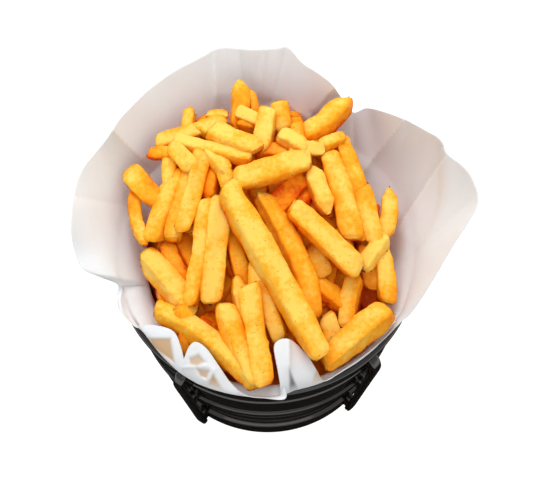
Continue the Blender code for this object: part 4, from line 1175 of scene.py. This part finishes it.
def hidden_fries(count, draw):
    """Lines, thicknesses and tones of the fries underneath: two layers, spread by a golden-angle rule."""
    found = []
    for number in range(count):
        layer, place = divmod(number, (count + 1) // 2)
        reach = FILLER_REACH * math.sqrt((place + 0.5) * 2 / count)
        middle = reach * outwards(math.radians(GOLDEN_ANGLE * number)) + (0, 0.001, 0)
        turn = math.radians(90 + draw.uniform(-FILLER_TURN, FILLER_TURN))
        half = outwards(turn) * draw.uniform(*FILLER_HALVES)
        line = np.array([middle - half, middle, middle + half])
        line[:, 2] = heap_height(line[:, 0], line[:, 1]) - FILLER_SINK[layer] - draw.uniform(0, 0.003)
        line[:, 2] -= FILLER_FRONT * (middle[1] < FILLER_DIVIDE)
        line[:, 2] += np.array((-1, 0, 1)) * draw.uniform(-FILLER_TILT, FILLER_TILT)
        found.append((line, draw.uniform(*FILLER_THICKS), FILLER_PAINTED_SHADE_TONE[layer] + draw.uniform(0, 0.3)))
    return found


class FRIES_OT_heap(bpy.types.Operator):
    """Makes the heap of fries over its core"""

    bl_idname = "fries.heap"
    bl_label = "Fries"

    def execute(self, context):
        looks = context.scene.fries_looks
        draw = np.random.default_rng(looks.seed)
        guard = paper_guard()
        material = fry_material(looks)
        shown, hidden = Shells(), Shells()
        for number, fry in enumerate(FRIES):
            shown.add_fry(place_fry(fry, guard), fry.thick * MM, (fry.first, fry.last), fry.tone,
                          100 + 7 * number, FRY_GRID)
        for number, (line, thick, tone) in enumerate(hidden_fries(looks.fillers, draw)):
            if plain_bar(line, thick).overlap(guard):
                line = shortened(line, thick, guard)
            hidden.add_fry(line, thick, HIDDEN_ENDS, tone, 3000 + 5 * number, HIDDEN_GRID)
        for piece in (shown.put("fries_shown", material, "fried_potato"),
                      hidden.put("fries_under", material, "fried_potato"), put_core(looks)):
            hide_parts("fries")
        return {"FINISHED"}


def put_core(looks):
    """The heap's inside: a dome under the fries, closed below by the lined basket's own form."""
    turn = ring_turns(CORE_COLUMNS)
    around = outwards(turn)
    margin = SHEET / 2 + CORE_GAP
    floor = PAPER_FLOOR + margin
    edge = lining_radius(CORE_LEAST, turn) - margin
    rows = []
    for share in np.linspace(CORE_FIRST, 1.0, CORE_ROWS):
        row = around * edge[:, None] * share
        sink = np.interp(share, CORE_SHARES, CORE_SINKS)
        row[:, 2] = np.maximum(heap_height(row[:, 0], row[:, 1]) - sink, CORE_LEAST)
        widest = edge - CORE_EASE * eased_back(row[:, 2], turn)
        row[:, :2] *= np.minimum(1, widest / np.hypot(row[:, 0], row[:, 1]))[:, None]
        rows.append(row)
    for height in CORE_LEVELS:
        rows.append(around * (lining_radius(height, turn) - margin)[:, None] + UP * height)
    foot = paper_radius(PAPER_FLOOR + PAPER_CORNER) - PAPER_CORNER - margin
    rows.append(around * foot + UP * floor)
    poles = [(0, 0, heap_height(0, 0) - CORE_SINKS[0]), (0, 0, floor)]
    points = np.vstack((poles[:1], np.concatenate(rows), poles[1:]))
    quads, triangles = tube_faces(len(rows), CORE_COLUMNS)
    return put_mesh("heap_core", points, quads[:, ::-1], triangles[:, ::-1], core_material(looks))


def fleck_shells(spots, normals, sizes, draw):
    """Small irregular flakes on a surface: each is a six-sided double cone, flattened along the normal."""
    shells = Shells()
    turn = ring_turns(6)[:, None]
    for spot, normal, size in zip(spots, normals, sizes):
        side = unit(np.cross(normal, draw.normal(size=3)))
        ahead = np.cross(normal, side) * draw.uniform(0.5, 1.5)
        radius = size / 2 * draw.uniform(0.6, 1.2, 6)
        ring = spot + radius[:, None] * (np.cos(turn) * side + np.sin(turn) * ahead)
        tip = normal * size * FLECK_FLATNESS
        shells.add(np.vstack((spot - tip, ring, spot + tip)), tube_faces(1, 6))
    return shells


def surface_spots(thing, count, draw):
    """Random points of an object's mesh, with their normals, where it faces up enough to hold a fleck."""
    spots, normals = np.empty((2, 3 * len(thing.data.vertices)))
    thing.data.vertices.foreach_get("co", spots)
    thing.data.vertices.foreach_get("normal", normals)
    spots, normals = spots.reshape(-1, 3), normals.reshape(-1, 3)
    open_to_sky = np.flatnonzero(normals[:, 2] > FLECK_LEAST_UP)
    picked = draw.choice(open_to_sky, count, replace=False)
    return spots[picked] + 0.0001 * normals[picked], normals[picked]


class FRIES_OT_seasoning(bpy.types.Operator):
    """Scatters dark seasoning flecks over the fries that show"""

    bl_idname = "fries.seasoning"
    bl_label = "Seasoning"

    def execute(self, context):
        looks = context.scene.fries_looks
        draw = np.random.default_rng(looks.seed + 1)
        spots, normals = surface_spots(bpy.data.objects["fries_shown"], looks.flecks, draw)
        flecks = fleck_shells(spots, normals, draw.uniform(*FLECK_SIZES, looks.flecks), draw)
        flecks.put("seasoning_flecks", herb_material(looks), "fried_potato")
        return {"FINISHED"}


def floor_material(looks):
    """A floor that is white to the camera, plain to light, and bright in reflections away from the basket."""
    material, tree, shader, place = new_material("floor", Roughness=0.9, Specular_IOR_Level=0.1,
                                                 Emission_Color=(1.0, 1.0, 1.0, 1.0))
    ray = tree.nodes.new("ShaderNodeLightPath")
    shade = colour_ramp(tree, ((0.0, looks.floor), (1.0, times(looks.floor, FLOOR_UNDER))))
    away = add_node(tree, "ShaderNodeVectorMath", operation="LENGTH")
    far = add_node(tree, "ShaderNodeMapRange", From_Min=CARD_FROM[0], From_Max=CARD_FROM[1],
                   To_Max=REFLECTED_CARD)
    seen = math_node(tree, "MULTIPLY", ray.outputs["Is Camera Ray"], FLOOR_BRIGHT)
    mirrored = math_node(tree, "MULTIPLY", ray.outputs["Is Glossy Ray"], far.outputs["Result"])
    link(tree, (place, away.inputs[0]), (away.outputs["Value"], far.inputs["Value"]),
         (math_node(tree, "ADD", seen, mirrored), shader.inputs["Emission Strength"]),
         (ray.outputs["Is Glossy Ray"], shade.inputs["Fac"]),
         (shade.outputs["Color"], shader.inputs["Base Color"]))
    return material


def put_floor(looks):
    """The floor, a plain square just under the basket."""
    corners = [(x * FLOOR_REACH, y * FLOOR_REACH, 0) for x, y in ((-1, -1), (1, -1), (1, 1), (-1, 1))]
    mesh = bpy.data.meshes.new("floor")
    mesh.from_pydata(corners, [], [(0, 1, 2, 3)])
    mesh.materials.append(floor_material(looks))
    floor = bpy.data.objects.new("floor", mesh)
    floor.location.z = -FLOOR_DROP
    bpy.context.scene.collection.objects.link(floor)


def put_lights(scene):
    """An even white surrounding and the lamps."""
    world = bpy.data.worlds.new("studio")
    world.use_nodes = True
    background = world.node_tree.nodes["Background"]
    background.inputs["Color"].default_value = (1, 1, 1, 1)
    background.inputs["Strength"].default_value = WORLD_BRIGHT
    scene.world = world
    for lamp in LAMPS:
        light = bpy.data.lights.new(lamp.name, "AREA")
        light.shape = "RECTANGLE"
        light.size, light.size_y = lamp.size
        light.energy = lamp.watts
        thing = bpy.data.objects.new(lamp.name, light)
        thing.location = lamp.place
        thing.visible_diffuse = lamp.diffuse
        thing.rotation_euler = (Vector(LAMP_AIM) - Vector(lamp.place)).to_track_quat("-Z", "Y").to_euler()
        scene.collection.objects.link(thing)


def put_camera(scene):
    """The camera, which stands where the places were read from."""
    data = bpy.data.cameras.new("camera")
    data.sensor_fit = "HORIZONTAL"
    data.sensor_width = SENSOR
    data.lens = VIEW_FOCAL * SENSOR / VIEW_SIZE[0]
    data.clip_start = 0.01
    camera = bpy.data.objects.new("camera", data)
    axes = Matrix((VIEW_RIGHT, VIEW_UP, -VIEW_FORWARD)).transposed()
    camera.matrix_world = (Matrix.Translation(VIEW_EYE) @ axes.to_4x4()
                           @ Matrix.Rotation(VIEW_ROLL, 4, "Z"))
    scene.collection.objects.link(camera)
    scene.camera = camera
    scene.view_settings.view_transform = "Standard"


class FRIES_OT_stage(bpy.types.Operator):
    """Makes the floor, the soft light and the camera"""

    bl_idname = "fries.stage"
    bl_label = "Stage"

    def execute(self, context):
        put_floor(context.scene.fries_looks)
        put_lights(context.scene)
        put_camera(context.scene)
        return {"FINISHED"}


class FRIES_PT_panel(bpy.types.Panel):
    """The sidebar's list of pieces"""

    bl_idname = "FRIES_PT_panel"
    bl_label = "Fries in a Basket"
    bl_space_type = "VIEW_3D"
    bl_region_type = "UI"
    bl_category = "Fries"

    def draw(self, context):
        for name in FriesLooks.__annotations__:
            self.layout.prop(context.scene.fries_looks, name)
        for operator in OPERATORS:
            self.layout.operator(operator.bl_idname)


OPERATORS = (FRIES_OT_basket, FRIES_OT_paper, FRIES_OT_heap, FRIES_OT_seasoning, FRIES_OT_stage)
CLASSES = (FriesLooks, *OPERATORS, FRIES_PT_panel)


def register():
    """Registers the classes and the scene's settings."""
    for entry in CLASSES:
        bpy.utils.register_class(entry)
    bpy.types.Scene.fries_looks = PointerProperty(type=FriesLooks)


def unregister():
    """Takes them away again."""
    del bpy.types.Scene.fries_looks
    for entry in reversed(CLASSES):
        bpy.utils.unregister_class(entry)


def main():
    """Builds every piece."""
    register()
    bpy.ops.fries.basket()
    bpy.ops.fries.paper()
    bpy.ops.fries.heap()
    bpy.ops.fries.seasoning()
    bpy.ops.fries.stage()


if __name__ == "__main__":
    main()
